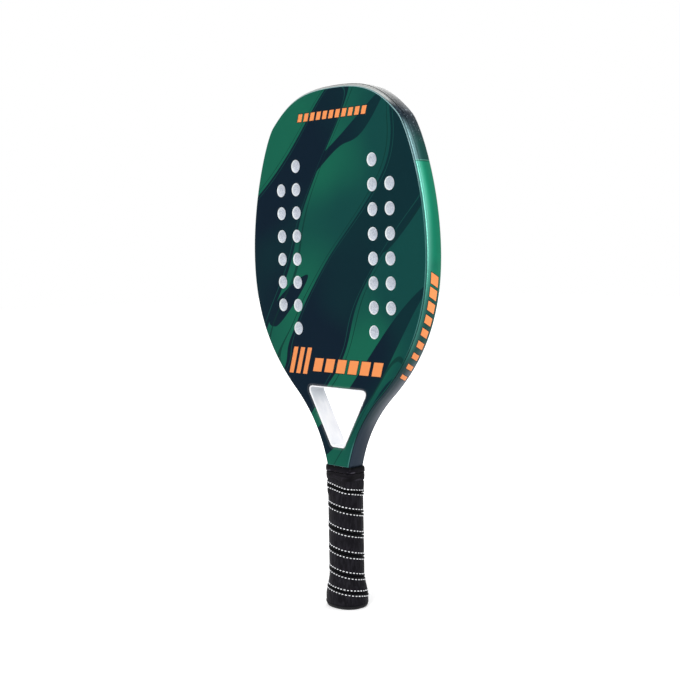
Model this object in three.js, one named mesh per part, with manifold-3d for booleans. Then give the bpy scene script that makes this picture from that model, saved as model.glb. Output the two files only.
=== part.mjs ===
// Beach tennis racket: a hollow composite frame round a perforated foam core, a bonded skin on
// each face, a moulded yoke round the throat opening, and a padded handle that is wound with one
// strip of leather. Millimetres. +Z runs up the racket from the flat base of its butt, which is
// the origin, +X is to the right when the front face is looked at, and the front face is at -Y.

import * as THREE from 'three';
import { mergeVertices } from 'three/addons/utils/BufferGeometryUtils.js';
import Module from 'manifold-3d';

const wasm = await Module();
wasm.setup();

// Overall sizes
const totalLength = 480;
const totalThickness = 19.3;
const handleLength = 131.6;
const skinThickness = 1.1;

// Clearances: a film of glue, a seat between moulded pieces, and how far a cutter runs past
const bondLine = 0.2;
const seatGap = 0.3;
const overrun = 5;

// Outline of the frame, right half, from the straight legs in the handle up to the crown
const legClearance = 1.8;
const legHalfWidth = 12.2;
const neckInHandle = 32.6;
const neckAboveHandle = 66.4;
const throatHalfWidth = 58;
const throatSplay = THREE.MathUtils.degToRad(48.8);
const headHalfWidth = 118;
const widestHeight = 327;
const shoulderLean = THREE.MathUtils.degToRad(45.9);
const shoulderWidthShare = 0.724;
const shoulderHeightShare = 0.8;
const neckPullShares = [0.283, 0.495];
const cheekPullShares = [0.48, 0.349];
const templePullShares = [0.465, 0.122];
const crownPullShares = [0.433, 0.433];
const legSteps = 1;
const neckSteps = 16;
const cheekSteps = 15;
const templeSteps = 12;
const crownSteps = 11;

// Hollow frame tube, as it is cut across
const tubeWidth = 7.5;
const tubeWall = 1.3;
const rimShoulderDepth = 2.2;
const rimShoulderDrop = 3.2;
const rimCrown = 0.35;
const rimCurveSteps = 3;

// Edge guard: a strip of tape over the top of the rim
const guardDrop = 74.5;
const guardThickness = 0.3;
const guardGap = 0.12;
const guardInset = 0.15;
const guardSteps = 4;

// Skins
const skinClearance = 0.4;
const skinBevel = 0.35;

// Air holes: two columns on each side of a bare middle, as far up and down as the margin allows
const holeDiameter = 12;
const holePitch = 21.7;
const innerColumn = 51.4;
const columnsPerSide = 2;
const gridAboveWidest = 6.6;
const holeMargin = 36;
const holeSides = 16;

// Throat opening, as shares of the clear width inside the frame, and the yoke that lines it
const openingAboveThroat = 5.3;
const openingAboveSkinEdge = 18.45;
const openingTopShare = 0.702;
const openingBottomShare = 0.517;
const openingTopRadius = 4;
const openingBottomRadius = 3.5;
const openingCornerSteps = 4;
const lipWidth = 1.2;
const lipSink = 0.7;
const yokeBridgeDepth = 10;
const yokeArchRise = 5;
const yokeArchSteps = 10;
const yokeFoot = 20;

// Handle under its winding: two moulded half pallets round the legs
const palletSideWall = 2.9;
const palletFaceWall = 4.25;
const gripRoundness = 2.25;
const neckRoundness = 6;
const neckCover = 0.4;
const neckCoverDepth = 0.65;
const palletBlendLength = 28;
const palletBlendDrop = 2;
const palletDrop = 10;
const palletBlendSteps = 5;
const handleSides = 24;

// Butt cap
const capTop = 27;
const capBase = 3.2;
const capRebate = 1;
const capFlare = 3.2;
const flareBottom = 9;
const flareTop = 34;
const buttTuck = 5;
const capBaseSteps = 4;
const capSkirtSteps = 9;

// Staples that hold the butt cap
const stapleWidth = 8;
const stapleWire = 0.9;
const stapleTipGap = 0.6;
const stapleDrop = 7;
const stapleSink = 0.5;
const stapleClearance = 0.15;

// Grip strip: one left-handed winding, with a sewn ridge along both edges
const stripWidth = 18.7;
const stripGap = 0.6;
const stripThickness = 1.5;
const stripRidge = 0.45;
const ridgeWidth = 3.6;
const ridgeRound = 0.9;
const stripLift = 0.5;
const stripLap = 2.8;
const stripPressLength = 2.2;
const seamDrop = 13.9;
const underStripSteps = 4;

// Finishing tape over the strip's top end, and the collar ring above it
const tapeHeight = 6.9;
const tapeThickness = 0.35;
const collarHeight = 5.2;
const collarWall = 1.25;
const collarBeadShares = [0.6, 0.92, 1, 0.92, 0.6];

// Sizes that follow from those
const coreThickness = totalThickness - 2 * (skinThickness + bondLine);
const coreHalf = coreThickness / 2;
const sideHalf = coreHalf - rimShoulderDrop;
const legBottom = capBase + legClearance;
const legStraightTop = handleLength - neckInHandle;
const throatHeight = handleLength + neckAboveHandle;
const frameTop = totalLength - guardThickness - guardGap;
const guardBottom = totalLength - guardDrop;
const skinInset = rimShoulderDepth;
const collarTop = handleLength;
const skinBottom = collarTop + skinClearance;
const openingTop = throatHeight + openingAboveThroat;
const openingBottom = skinBottom + openingAboveSkinEdge;
const gripHalfWidth = legHalfWidth + palletSideWall;
const gripHalfDepth = coreHalf + palletFaceWall;
const collarBottom = collarTop - collarHeight;
const tapeTop = collarBottom - seatGap;
const tapeBottom = tapeTop - tapeHeight;
const stripBottom = capBase + stripLift;
const stripTop = tapeBottom + stripLap;
const stripPitch = stripWidth + stripGap;
const seamHeight = stripTop - seamDrop;
const palletTop = stripTop - palletDrop;
const palletBlendTop = stripTop - palletBlendDrop;
const palletBlendBottom = palletBlendTop - palletBlendLength;
const stapleHeight = capTop - stapleDrop;
const shoulderHalfWidth = headHalfWidth * shoulderWidthShare;
const shoulderHeight = widestHeight + (frameTop - widestHeight) * shoulderHeightShare;
const stripStand = seatGap + stripThickness;

// A solid for cutting or joining, from any closed geometry
function solid(geometry) {
  const bare = geometry.clone();
  bare.deleteAttribute('normal');
  bare.deleteAttribute('uv');
  const merged = mergeVertices(bare);
  return new wasm.Manifold(new wasm.Mesh({
    numProp: 3,
    vertProperties: new Float32Array(merged.attributes.position.array),
    triVerts: new Uint32Array(merged.index.array),
  }));
}

// The geometry of a finished solid
function geometryOf(body) {
  const mesh = body.getMesh();
  const geometry = new THREE.BufferGeometry();
  geometry.setAttribute('position', new THREE.BufferAttribute(mesh.vertProperties, 3));
  geometry.setIndex(new THREE.BufferAttribute(mesh.triVerts, 1));
  geometry.computeVertexNormals();
  return geometry;
}

// A closed skin through equal rings of points, capped with the triangles of a flat contour
function throughRings(rings, contour) {
  const count = contour.length;
  const faces = [];
  for (let i = 0; i + 1 < rings.length; i += 1) {
    for (let j = 0; j < count; j += 1) {
      const near = i * count + j;
      const next = i * count + (j + 1) % count;
      faces.push([near, next, next + count], [near, next + count, near + count]);
    }
  }
  const last = (rings.length - 1) * count;
  const clockwise = THREE.ShapeUtils.isClockWise(contour);
  for (const face of THREE.ShapeUtils.triangulateShape(contour, [])) {
    const [a, b, c] = clockwise ? face : [...face].reverse();
    faces.push([a, b, c], [c + last, b + last, a + last]);
  }
  const points = rings.flat();
  const volume = faces.reduce((sum, [a, b, c]) => (
    sum + points[a].dot(points[b].clone().cross(points[c]))
  ), 0);
  const geometry = new THREE.BufferGeometry();
  geometry.setFromPoints(points);
  geometry.setIndex(faces.flatMap((face) => (volume > 0 ? face : [...face].reverse())));
  return geometry;
}

// A flat shape drawn as it is seen from the front, extruded from one depth towards another
function plate(shape, nearY, farY, bevel = 0) {
  const geometry = new THREE.ExtrudeGeometry(shape, {
    depth: Math.abs(farY - nearY) - 2 * bevel,
    steps: 1,
    curveSegments: openingCornerSteps,
    bevelEnabled: bevel > 0,
    bevelThickness: bevel,
    bevelSize: bevel,
    bevelOffset: -bevel,
    bevelSegments: 1,
  });
  geometry.rotateX(Math.PI / 2);
  geometry.translate(0, Math.max(nearY, farY) - bevel, 0);
  return geometry;
}

function box(low, high) {
  const size = high.clone().sub(low);
  const geometry = new THREE.BoxGeometry(size.x, size.y, size.z);
  const middle = low.clone().add(high).multiplyScalar(1 / 2);
  geometry.translate(middle.x, middle.y, middle.z);
  return geometry;
}

// Slab between two heights, wider than the racket
function between(bottom, top) {
  return solid(box(
    new THREE.Vector3(-headHalfWidth - overrun, -totalThickness - overrun, bottom),
    new THREE.Vector3(headHalfWidth + overrun, totalThickness + overrun, top),
  ));
}

// The frame's outline as samples with a point and the direction that faces outwards
function outlineSamples() {
  const splay = new THREE.Vector2(Math.sin(throatSplay), Math.cos(throatSplay));
  const lean = new THREE.Vector2(-Math.sin(shoulderLean), Math.cos(shoulderLean));
  const foot = new THREE.Vector2(legHalfWidth, legBottom);
  const knee = new THREE.Vector2(legHalfWidth, legStraightTop);
  const throat = new THREE.Vector2(throatHalfWidth, throatHeight);
  const widest = new THREE.Vector2(headHalfWidth, widestHeight);
  const shoulder = new THREE.Vector2(shoulderHalfWidth, shoulderHeight);
  const crown = new THREE.Vector2(0, frameTop);
  const up = new THREE.Vector2(0, 1);
  const left = new THREE.Vector2(-1, 0);

  const stretch = (from, fromDirection, to, toDirection, span, pullShares) => (
    new THREE.CubicBezierCurve(
      from,
      from.clone().addScaledVector(fromDirection, span * pullShares[0]),
      to.clone().addScaledVector(toDirection, -span * pullShares[1]),
      to,
    )
  );
  const stretches = [
    [new THREE.LineCurve(foot, knee), legSteps],
    [stretch(knee, up, throat, splay, throatHeight - legStraightTop, neckPullShares), neckSteps],
    [stretch(throat, splay, widest, up, widestHeight - throatHeight, cheekPullShares), cheekSteps],
    [stretch(widest, up, shoulder, lean, shoulderHeight - widestHeight, templePullShares), templeSteps],
    [stretch(shoulder, lean, crown, left, shoulderHalfWidth, crownPullShares), crownSteps],
  ];

  const right = [];
  stretches.forEach(([curve, steps], index) => {
    for (let k = index === 0 ? 0 : 1; k <= steps; k += 1) {
      const tangent = curve.getTangentAt(k / steps);
      right.push({
        point: curve.getPointAt(k / steps),
        outward: new THREE.Vector2(tangent.y, -tangent.x),
      });
    }
  });
  const leftSide = right.slice(0, -1).reverse().map(({ point, outward }) => ({
    point: new THREE.Vector2(-point.x, point.y),
    outward: new THREE.Vector2(-outward.x, outward.y),
  }));
  return [...right, ...leftSide];
}

const outline = outlineSamples();

// The line that runs at a distance from the outline, outwards where it is positive
function lineAt(distance, samples = outline) {
  return samples.map(({ point, outward }) => point.clone().addScaledVector(outward, distance));
}

// The outline's samples above a height, with one more at each end on that very height
function samplesAbove(height, distance = 0) {
  const heightOf = (sample) => sample.point.y + sample.outward.y * distance;
  const kept = outline.filter((sample) => heightOf(sample) > height);
  const first = outline.indexOf(kept[0]);
  const last = outline.indexOf(kept[kept.length - 1]);
  const endBetween = (below, above) => {
    const share = (height - heightOf(below)) / (heightOf(above) - heightOf(below));
    return {
      point: below.point.clone().lerp(above.point, share),
      outward: below.outward.clone().lerp(above.outward, share).normalize(),
    };
  };
  return [
    endBetween(outline[first - 1], outline[first]),
    ...kept,
    endBetween(outline[last + 1], outline[last]),
  ];
}

// Half width of the frame at a height of its neck
function frameHalfWidth(height) {
  const upper = outline.findIndex(({ point }) => point.y > height);
  const a = outline[Math.max(upper - 1, 0)].point;
  const b = outline[Math.max(upper, 1)].point;
  const share = THREE.MathUtils.clamp((height - a.y) / (b.y - a.y), 0, 1);
  return THREE.MathUtils.lerp(a.x, b.x, share);
}

// Sweep of a section along samples of the outline: x of the section runs outwards, y runs in depth
function alongOutline(section, samples) {
  const rings = samples.map(({ point, outward }) => section.map((q) => (
    new THREE.Vector3(point.x + outward.x * q.x, q.y, point.y + outward.y * q.x)
  )));
  return throughRings(rings, section);
}

// Outer section of the frame tube: flat lands under the skins, round shoulders, crowned side
function tubeSection() {
  const path = new THREE.Path();
  path.moveTo(-tubeWidth, -coreHalf);
  path.lineTo(-rimShoulderDepth, -coreHalf);
  path.quadraticCurveTo(-rimCrown, -coreHalf, -rimCrown, -sideHalf);
  path.quadraticCurveTo(rimCrown, 0, -rimCrown, sideHalf);
  path.quadraticCurveTo(-rimCrown, coreHalf, -rimShoulderDepth, coreHalf);
  path.lineTo(-tubeWidth, coreHalf);
  return path.getPoints(rimCurveSteps);
}

function frameTube() {
  const inner = coreHalf - tubeWall;
  const bore = [
    new THREE.Vector2(-tubeWidth + tubeWall, -inner),
    new THREE.Vector2(-tubeWall - rimCrown, -inner),
    new THREE.Vector2(-tubeWall - rimCrown, inner),
    new THREE.Vector2(-tubeWidth + tubeWall, inner),
  ];
  const foot = outline[0];
  const past = { point: foot.point.clone().setY(legBottom - overrun), outward: foot.outward };
  const mirrored = {
    point: new THREE.Vector2(-past.point.x, past.point.y),
    outward: new THREE.Vector2(-past.outward.x, past.outward.y),
  };
  const blank = solid(alongOutline(tubeSection(), outline));
  return geometryOf(blank.subtract(solid(alongOutline(bore, [past, ...outline, mirrored]))));
}

// Tape on the crowned side of the rim, from one cheek over the crown to the other
function edgeGuard() {
  const sideAt = (depth) => -rimCrown * (depth / sideHalf) ** 2;
  const guardHalfWidth = sideHalf - guardInset;
  const depths = [];
  for (let k = 0; k <= guardSteps; k += 1) {
    depths.push(THREE.MathUtils.lerp(-guardHalfWidth, guardHalfWidth, k / guardSteps));
  }
  const under = depths.map((depth) => new THREE.Vector2(sideAt(depth) + guardGap, depth));
  const over = depths.map((depth) => (
    new THREE.Vector2(sideAt(depth) + guardGap + guardThickness, depth)
  ));
  return alongOutline([...under, ...over.reverse()], samplesAbove(guardBottom));
}

// Everything inside the frame tube, at the core's thickness
function insideFrame() {
  const shape = new THREE.Shape(lineAt(-tubeWidth - bondLine));
  return solid(plate(shape, -coreHalf, coreHalf));
}

// The throat opening, a trapezoid with round corners, or a line round it at a margin
function openingPath(margin = 0) {
  const path = new THREE.Path();
  const topHalfWidth = (frameHalfWidth(openingTop) - tubeWidth) * openingTopShare;
  const bottomHalfWidth = (frameHalfWidth(openingBottom) - tubeWidth) * openingBottomShare;
  const corners = [
    [new THREE.Vector2(-topHalfWidth, openingTop), openingTopRadius],
    [new THREE.Vector2(topHalfWidth, openingTop), openingTopRadius],
    [new THREE.Vector2(bottomHalfWidth, openingBottom), openingBottomRadius],
    [new THREE.Vector2(-bottomHalfWidth, openingBottom), openingBottomRadius],
  ];
  corners.forEach(([corner, radius], index) => {
    const before = corners[(index + corners.length - 1) % corners.length][0];
    const after = corners[(index + 1) % corners.length][0];
    const toBefore = before.clone().sub(corner).normalize();
    const toAfter = after.clone().sub(corner).normalize();
    const halfAngle = toBefore.angleTo(toAfter) / 2;
    const inwards = toBefore.clone().add(toAfter).normalize();
    const tip = corner.clone().addScaledVector(inwards, -margin / Math.sin(halfAngle));
    const setback = (radius + margin) / Math.tan(halfAngle);
    const start = tip.clone().addScaledVector(toBefore, setback);
    const end = tip.clone().addScaledVector(toAfter, setback);
    if (index === 0) path.moveTo(start.x, start.y);
    else path.lineTo(start.x, start.y);
    path.quadraticCurveTo(tip.x, tip.y, end.x, end.y);
  });
  path.closePath();
  return path;
}

// A region with the bridge's arched top edge as one border, reaching up or down from it
function besideArch(lift, farHeight) {
  const centre = openingTop + yokeBridgeDepth + lift;
  const shape = new THREE.Shape();
  const side = headHalfWidth + overrun;
  const reach = throatHalfWidth;
  shape.moveTo(side, centre + yokeArchRise);
  for (let k = yokeArchSteps; k >= -yokeArchSteps; k -= 1) {
    const share = k / yokeArchSteps;
    shape.lineTo(reach * share, centre + yokeArchRise * share ** 2);
  }
  shape.lineTo(-side, centre + yokeArchRise);
  shape.lineTo(-side, farHeight);
  shape.lineTo(side, farHeight);
  shape.closePath();
  return solid(plate(shape, -totalThickness, totalThickness));
}

// Distance from a place on the face to the frame's outline
function distanceToOutline(place) {
  const corners = outline.map(({ point }) => new THREE.Vector3(point.x, 0, point.y));
  return Math.min(...corners.slice(1).map((corner, index) => (
    new THREE.Line3(corners[index], corner)
      .closestPointToPoint(place, true, new THREE.Vector3())
      .distanceTo(place)
  )));
}

// Centres of the air holes, up and down each column until the next one lacks its margin
function holeCentres() {
  const centres = [];
  for (let column = 0; column < columnsPerSide; column += 1) {
    const x = innerColumn + column * holePitch;
    for (const upwards of [-1, 1]) {
      const place = (row) => new THREE.Vector3(
        x, 0, widestHeight + gridAboveWidest + upwards * (row + 1 / 2) * holePitch,
      );
      for (let row = 0; distanceToOutline(place(row)) >= holeMargin; row += 1) {
        centres.push(place(row), place(row).setX(-x));
      }
    }
  }
  return centres;
}

// Round drills for all the air holes
function drills() {
  const radius = holeDiameter / 2;
  return wasm.Manifold.union(holeCentres().map((centre) => {
    const drill = new THREE.CylinderGeometry(radius, radius, 2 * totalThickness, holeSides);
    drill.translate(centre.x, 0, centre.z);
    return solid(drill);
  }));
}

// Foam core: the hitting area between the skins
function foamCore() {
  return geometryOf(insideFrame().intersect(besideArch(bondLine, totalLength)).subtract(drills()));
}

// A block in the form of the throat opening, grown by a margin, to a depth on both sides
function openingBlock(margin, depth) {
  const shape = new THREE.Shape(openingPath(margin).getPoints(openingCornerSteps));
  return solid(plate(shape, -depth, depth));
}

// Yoke: the bridge across the throat, the wedge below it and the lining of the opening, whose
// lip comes up through both skins
function throatYoke() {
  const body = insideFrame().intersect(besideArch(0, openingBottom - yokeFoot));
  const lining = openingBlock(lipWidth, totalThickness / 2 - lipSink);
  return geometryOf(body.add(lining).subtract(openingBlock(0, totalThickness)));
}

// Skin: one face of the racket, from the crown down to the collar, with the opening and the holes
function skin(side) {
  const shape = new THREE.Shape(lineAt(-skinInset, samplesAbove(skinBottom, -skinInset)));
  shape.holes.push(openingPath(lipWidth + bondLine));
  const inner = side * (coreHalf + bondLine);
  const outer = side * (coreHalf + bondLine + skinThickness);
  return geometryOf(solid(plate(shape, inner, outer, skinBevel)).subtract(drills()));
}

// Foam spacer between the two legs, from the yoke's foot down to the butt
function handleSpacer() {
  const top = openingBottom - yokeFoot - bondLine;
  return geometryOf(insideFrame().intersect(between(legBottom, top)));
}

// Half sizes and roundness of the handle under its winding
function handleSection(height) {
  const blend = THREE.MathUtils.smoothstep(height, palletBlendBottom, palletBlendTop);
  return {
    halfWidth: THREE.MathUtils.lerp(gripHalfWidth, frameHalfWidth(height) + neckCover, blend),
    halfDepth: THREE.MathUtils.lerp(gripHalfDepth, coreHalf + neckCoverDepth, blend),
    roundness: THREE.MathUtils.lerp(gripRoundness, neckRoundness, blend),
  };
}

// A point round the handle, at a stand-off from that section
function handlePoint(height, angle, standOff) {
  const { halfWidth, halfDepth, roundness } = handleSection(height);
  const along = Math.cos(angle);
  const across = Math.sin(angle);
  const x = Math.sign(along) * Math.abs(along) ** (2 / roundness);
  const y = Math.sign(across) * Math.abs(across) ** (2 / roundness);
  return new THREE.Vector3(x * (halfWidth + standOff), y * (halfDepth + standOff), height);
}

// A body round the handle through stations, each a height and a stand-off
function aroundHandle(stations) {
  const rings = stations.map(([height, standOff]) => {
    const ring = [];
    for (let j = 0; j < handleSides; j += 1) {
      ring.push(handlePoint(height, (j / handleSides) * 2 * Math.PI, standOff));
    }
    return ring;
  });
  return solid(throughRings(rings, rings[0].map(({ x, y }) => new THREE.Vector2(x, y))));
}

// How far the butt stands out from the handle: a flare that tucks in again at the base
function flareAt(height) {
  const flare = capFlare * (1 - THREE.MathUtils.smoothstep(height, flareBottom, flareTop));
  const below = THREE.MathUtils.clamp((flareBottom - height) / flareBottom, 0, 1);
  return flare - buttTuck * (1 - Math.sqrt(1 - below ** 2));
}

// The outside of the two legs and all between them, grown by a film of glue
function neckEnvelope() {
  const rightSide = tubeSection();
  const grown = 1 + bondLine / coreHalf;
  const heights = [0, ...outline.slice(1, neckSteps).map(({ point }) => point.y)];
  const rings = heights.map((height) => {
    const edge = frameHalfWidth(height) + bondLine;
    const right = rightSide.map((q) => new THREE.Vector3(edge + q.x, q.y * grown, height));
    const left = right.map((q) => new THREE.Vector3(-q.x, q.y, q.z)).reverse();
    return [...right, ...left];
  });
  return solid(throughRings(rings, rings[0].map(({ x, y }) => new THREE.Vector2(x, y))));
}

// Pallet: one moulded half of the handle, stepped at the bottom for the butt cap
function pallet(side) {
  const step = capTop + seatGap;
  const stations = [[capBase + seatGap, -capRebate], [step, -capRebate], [step, 0]];
  for (let k = 0; k <= palletBlendSteps; k += 1) {
    stations.push([THREE.MathUtils.lerp(palletBlendBottom, palletTop, k / palletBlendSteps), 0]);
  }
  const reach = side * (gripHalfDepth + overrun);
  const parting = side * (seatGap / 2);
  const half = solid(box(
    new THREE.Vector3(-gripHalfWidth - overrun, Math.min(reach, parting), 0),
    new THREE.Vector3(gripHalfWidth + overrun, Math.max(reach, parting), totalLength),
  ));
  const staples = staple(side, stapleClearance, 0);
  return geometryOf(aroundHandle(stations).subtract(neckEnvelope()).intersect(half).subtract(staples));
}

// Butt cap: a cup over the end of the handle, with a rounded base that the strip runs down to
function buttCap() {
  const stations = [];
  for (let k = 0; k <= capBaseSteps; k += 1) {
    const height = capBase * (k / capBaseSteps) ** 2;
    stations.push([height, flareAt(height) + stripStand]);
  }
  for (let k = 0; k <= capSkirtSteps; k += 1) {
    const height = THREE.MathUtils.lerp(capBase, capTop, k / capSkirtSteps);
    stations.push([height, flareAt(height)]);
  }
  const fit = seatGap - capRebate;
  const legs = neckEnvelope().intersect(between(capBase, totalLength));
  const socket = aroundHandle([[capBase, fit], [capTop + overrun, fit]]).add(legs);
  const staples = staple(-1, stapleClearance, overrun).add(staple(1, stapleClearance, overrun));
  return geometryOf(aroundHandle(stations).subtract(socket).subtract(staples));
}

// Staple through the cap's skirt into a pallet, or the slot for one where it is grown
function staple(side, clearance, openOut) {
  const crownY = gripHalfDepth + flareAt(stapleHeight) - stapleSink;
  const outerX = stapleWidth / 2 + clearance;
  const innerX = stapleWidth / 2 - stapleWire - clearance;
  const crownTop = crownY + clearance + openOut;
  const crownUnder = crownY - stapleWire - clearance;
  const tip = coreHalf + stapleTipGap - clearance;
  const shape = new THREE.Shape([
    new THREE.Vector2(-outerX, tip),
    new THREE.Vector2(-innerX, tip),
    new THREE.Vector2(-innerX, crownUnder),
    new THREE.Vector2(innerX, crownUnder),
    new THREE.Vector2(innerX, tip),
    new THREE.Vector2(outerX, tip),
    new THREE.Vector2(outerX, crownTop),
    new THREE.Vector2(-outerX, crownTop),
  ]);
  const wire = stapleWire + 2 * clearance;
  const geometry = new THREE.ExtrudeGeometry(shape, { depth: wire, bevelEnabled: false });
  geometry.translate(0, 0, stapleHeight - wire / 2);
  if (side < 0) geometry.rotateZ(Math.PI);
  return solid(geometry);
}

// Section of the grip strip: across its width, then up from the handle
function stripSection() {
  const half = stripWidth / 2;
  const section = [];
  for (let k = 0; k <= underStripSteps; k += 1) {
    section.push(new THREE.Vector2(THREE.MathUtils.lerp(-half, half, k / underStripSteps), 0));
  }
  section.push(
    new THREE.Vector2(half, stripThickness / 2),
    new THREE.Vector2(half - ridgeRound, stripThickness + stripRidge),
    new THREE.Vector2(half - ridgeWidth, stripThickness),
    new THREE.Vector2(0, stripThickness),
    new THREE.Vector2(ridgeWidth - half, stripThickness),
    new THREE.Vector2(ridgeRound - half, stripThickness + stripRidge),
    new THREE.Vector2(-half, stripThickness / 2),
  );
  return section;
}

// Grip strip: wound down from the neck to the butt with its edges side by side
function gripStrip() {
  const section = stripSection();
  const turnsAbove = (stripTop - seamHeight) / stripPitch + 1;
  const turnsBelow = (seamHeight - stripBottom) / stripPitch + 1;
  const firstStep = -Math.ceil(turnsAbove * handleSides);
  const lastStep = Math.ceil(turnsBelow * handleSides);
  const rings = [];
  for (let step = firstStep; step <= lastStep; step += 1) {
    const turn = step / handleSides;
    const middle = seamHeight - stripPitch * (turn + 1 / 2);
    rings.push(section.map((q) => {
      const height = middle + q.x;
      const pressed = 1 - THREE.MathUtils.smoothstep(
        height, tapeBottom - stripPressLength, tapeBottom,
      );
      const rise = Math.min(q.y, stripThickness) + Math.max(q.y - stripThickness, 0) * pressed;
      const station = THREE.MathUtils.clamp(height, capBase, stripTop);
      const seat = flareAt(station) + seatGap + rise;
      return handlePoint(station, turn * 2 * Math.PI, seat).setZ(height);
    }));
  }
  const wound = solid(throughRings(rings, section)).intersect(between(stripBottom, stripTop));
  console.log(`grip strip: least gap to itself ${leastGap(rings).toFixed(2)} mm`);
  return geometryOf(wound);
}

// Least distance between points of the winding that lie more than half a turn apart
function leastGap(rings) {
  let least = Infinity;
  for (let i = 0; i < rings.length; i += 1) {
    for (let j = i + handleSides / 2; j < Math.min(rings.length, i + 2 * handleSides); j += 1) {
      for (const p of rings[i]) {
        for (const q of rings[j]) least = Math.min(least, p.distanceTo(q));
      }
    }
  }
  return least;
}

// Finishing tape: a band that steps from the strip's top end down onto the neck
function finishingTape() {
  const overStrip = seatGap + stripThickness + seatGap;
  const ledge = stripTop + seatGap;
  const outer = aroundHandle([
    [tapeBottom, overStrip + tapeThickness],
    [ledge, overStrip + tapeThickness],
    [tapeTop, seatGap + 2 * tapeThickness],
  ]);
  const inner = aroundHandle([
    [tapeBottom - overrun, overStrip],
    [ledge, overStrip],
    [ledge, seatGap],
    [tapeTop + overrun, seatGap],
  ]);
  return geometryOf(outer.subtract(inner));
}

// Collar: a rubber ring with a round bead, tight against the lower edge of the skins
function gripCollar() {
  const last = collarBeadShares.length - 1;
  const stations = collarBeadShares.map((share, k) => (
    [THREE.MathUtils.lerp(collarBottom, collarTop, k / last), seatGap + collarWall * share]
  ));
  const inner = aroundHandle([[collarBottom - overrun, seatGap], [collarTop + overrun, seatGap]]);
  return geometryOf(aroundHandle(stations).subtract(inner));
}

// Finishes
const finishes = {
  greenRim: { color: 0x178a62, roughness: 0.25, metalness: 0 },
  print: { color: 0x1c6554, roughness: 0.35, metalness: 0 },
  foam: { color: 0xdcd8e2, roughness: 0.9, metalness: 0 },
  yoke: { color: 0xe9e6ee, roughness: 0.6, metalness: 0 },
  guard: { color: 0x5a6068, roughness: 0.4, metalness: 0 },
  moulding: { color: 0x2a2a2c, roughness: 0.7, metalness: 0 },
  leather: { color: 0x232128, roughness: 0.5, metalness: 0 },
  tape: { color: 0x17161b, roughness: 0.3, metalness: 0 },
  steel: { color: 0xb4b6ba, roughness: 0.35, metalness: 1 },
};

const racket = new THREE.Group();

function addPiece(name, geometry, finish) {
  const mesh = new THREE.Mesh(geometry, new THREE.MeshStandardMaterial(finishes[finish]));
  mesh.name = name;
  racket.add(mesh);
}

addPiece('frame_tube', frameTube(), 'greenRim');
addPiece('edge_guard', edgeGuard(), 'guard');
addPiece('foam_core', foamCore(), 'foam');
addPiece('throat_yoke', throatYoke(), 'yoke');
addPiece('front_skin', skin(-1), 'print');
addPiece('rear_skin', skin(1), 'print');
addPiece('handle_spacer', handleSpacer(), 'foam');
addPiece('pallet_front', pallet(-1), 'moulding');
addPiece('pallet_rear', pallet(1), 'moulding');
addPiece('butt_cap', buttCap(), 'moulding');
addPiece('staple_front', geometryOf(staple(-1, 0, 0)), 'steel');
addPiece('staple_rear', geometryOf(staple(1, 0, 0)), 'steel');
addPiece('grip_strip', gripStrip(), 'leather');
addPiece('finishing_tape', finishingTape(), 'tape');
addPiece('grip_collar', gripCollar(), 'tape');

export default racket;
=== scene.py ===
import math
from itertools import accumulate, pairwise, product

import bmesh
import bpy
from mathutils import Matrix, Vector, geometry


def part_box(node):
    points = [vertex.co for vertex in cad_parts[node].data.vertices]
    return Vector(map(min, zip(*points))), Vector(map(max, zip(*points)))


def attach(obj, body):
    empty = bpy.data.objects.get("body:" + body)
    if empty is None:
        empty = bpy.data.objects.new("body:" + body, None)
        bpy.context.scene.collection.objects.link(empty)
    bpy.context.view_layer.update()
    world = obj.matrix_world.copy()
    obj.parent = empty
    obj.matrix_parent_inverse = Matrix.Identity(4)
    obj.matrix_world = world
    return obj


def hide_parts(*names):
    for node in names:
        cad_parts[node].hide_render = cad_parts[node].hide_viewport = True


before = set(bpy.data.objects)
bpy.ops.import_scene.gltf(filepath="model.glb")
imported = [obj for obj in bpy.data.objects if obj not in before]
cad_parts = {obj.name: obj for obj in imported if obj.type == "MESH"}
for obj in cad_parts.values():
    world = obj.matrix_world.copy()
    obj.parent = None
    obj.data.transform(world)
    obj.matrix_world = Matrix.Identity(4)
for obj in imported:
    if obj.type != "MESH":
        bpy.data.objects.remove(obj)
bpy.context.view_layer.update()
mm = 0.001


# Studio
# The racket stands on a pale floor in soft light. The camera sees its front face and its right
# edge, 48 degrees round to the right and a little above the middle, as in the photograph.
view_azimuth = math.radians(47.68)
view_elevation = math.radians(4.15)
view_roll = math.radians(-0.98)
camera_place = Vector((0.8469, -0.7750, 0.3314))
focal_length_pixels = 1250
picture_pixels = 680
sensor_width = 36
floor_half = 6
floor_drop = 0.05 * mm
floor_colour = (0.83, 0.83, 0.83, 1)
near_glow = 0.4
far_glow = 1.0
glow_start = 0.15
glow_end = 0.9
day_colour = (1, 1, 1, 1)
day_strength = 0.41
# place, aim, size and power of each softbox
softboxes = {
    "strip_softbox": ((0.72, -1.3, 0.82), (0, 0, 0.28), (0.25, 1.5), 14),
    "front_softbox": ((-0.7, -1.9, 1.2), (0, 0, 0.3), (1.2, 1.2), 7),
    "side_softbox": ((1.75, 0.88, 1.35), (0.1, 0, 0.36), (0.45, 1.2), 8),
    "rear_softbox": ((-0.9, 1.7, 1.5), (0, 0, 0.3), (1.3, 1.3), 16),
    "top_softbox": ((0.15, -0.1, 2.0), (0, 0, 0.4), (0.9, 0.9), 7),
}


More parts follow.
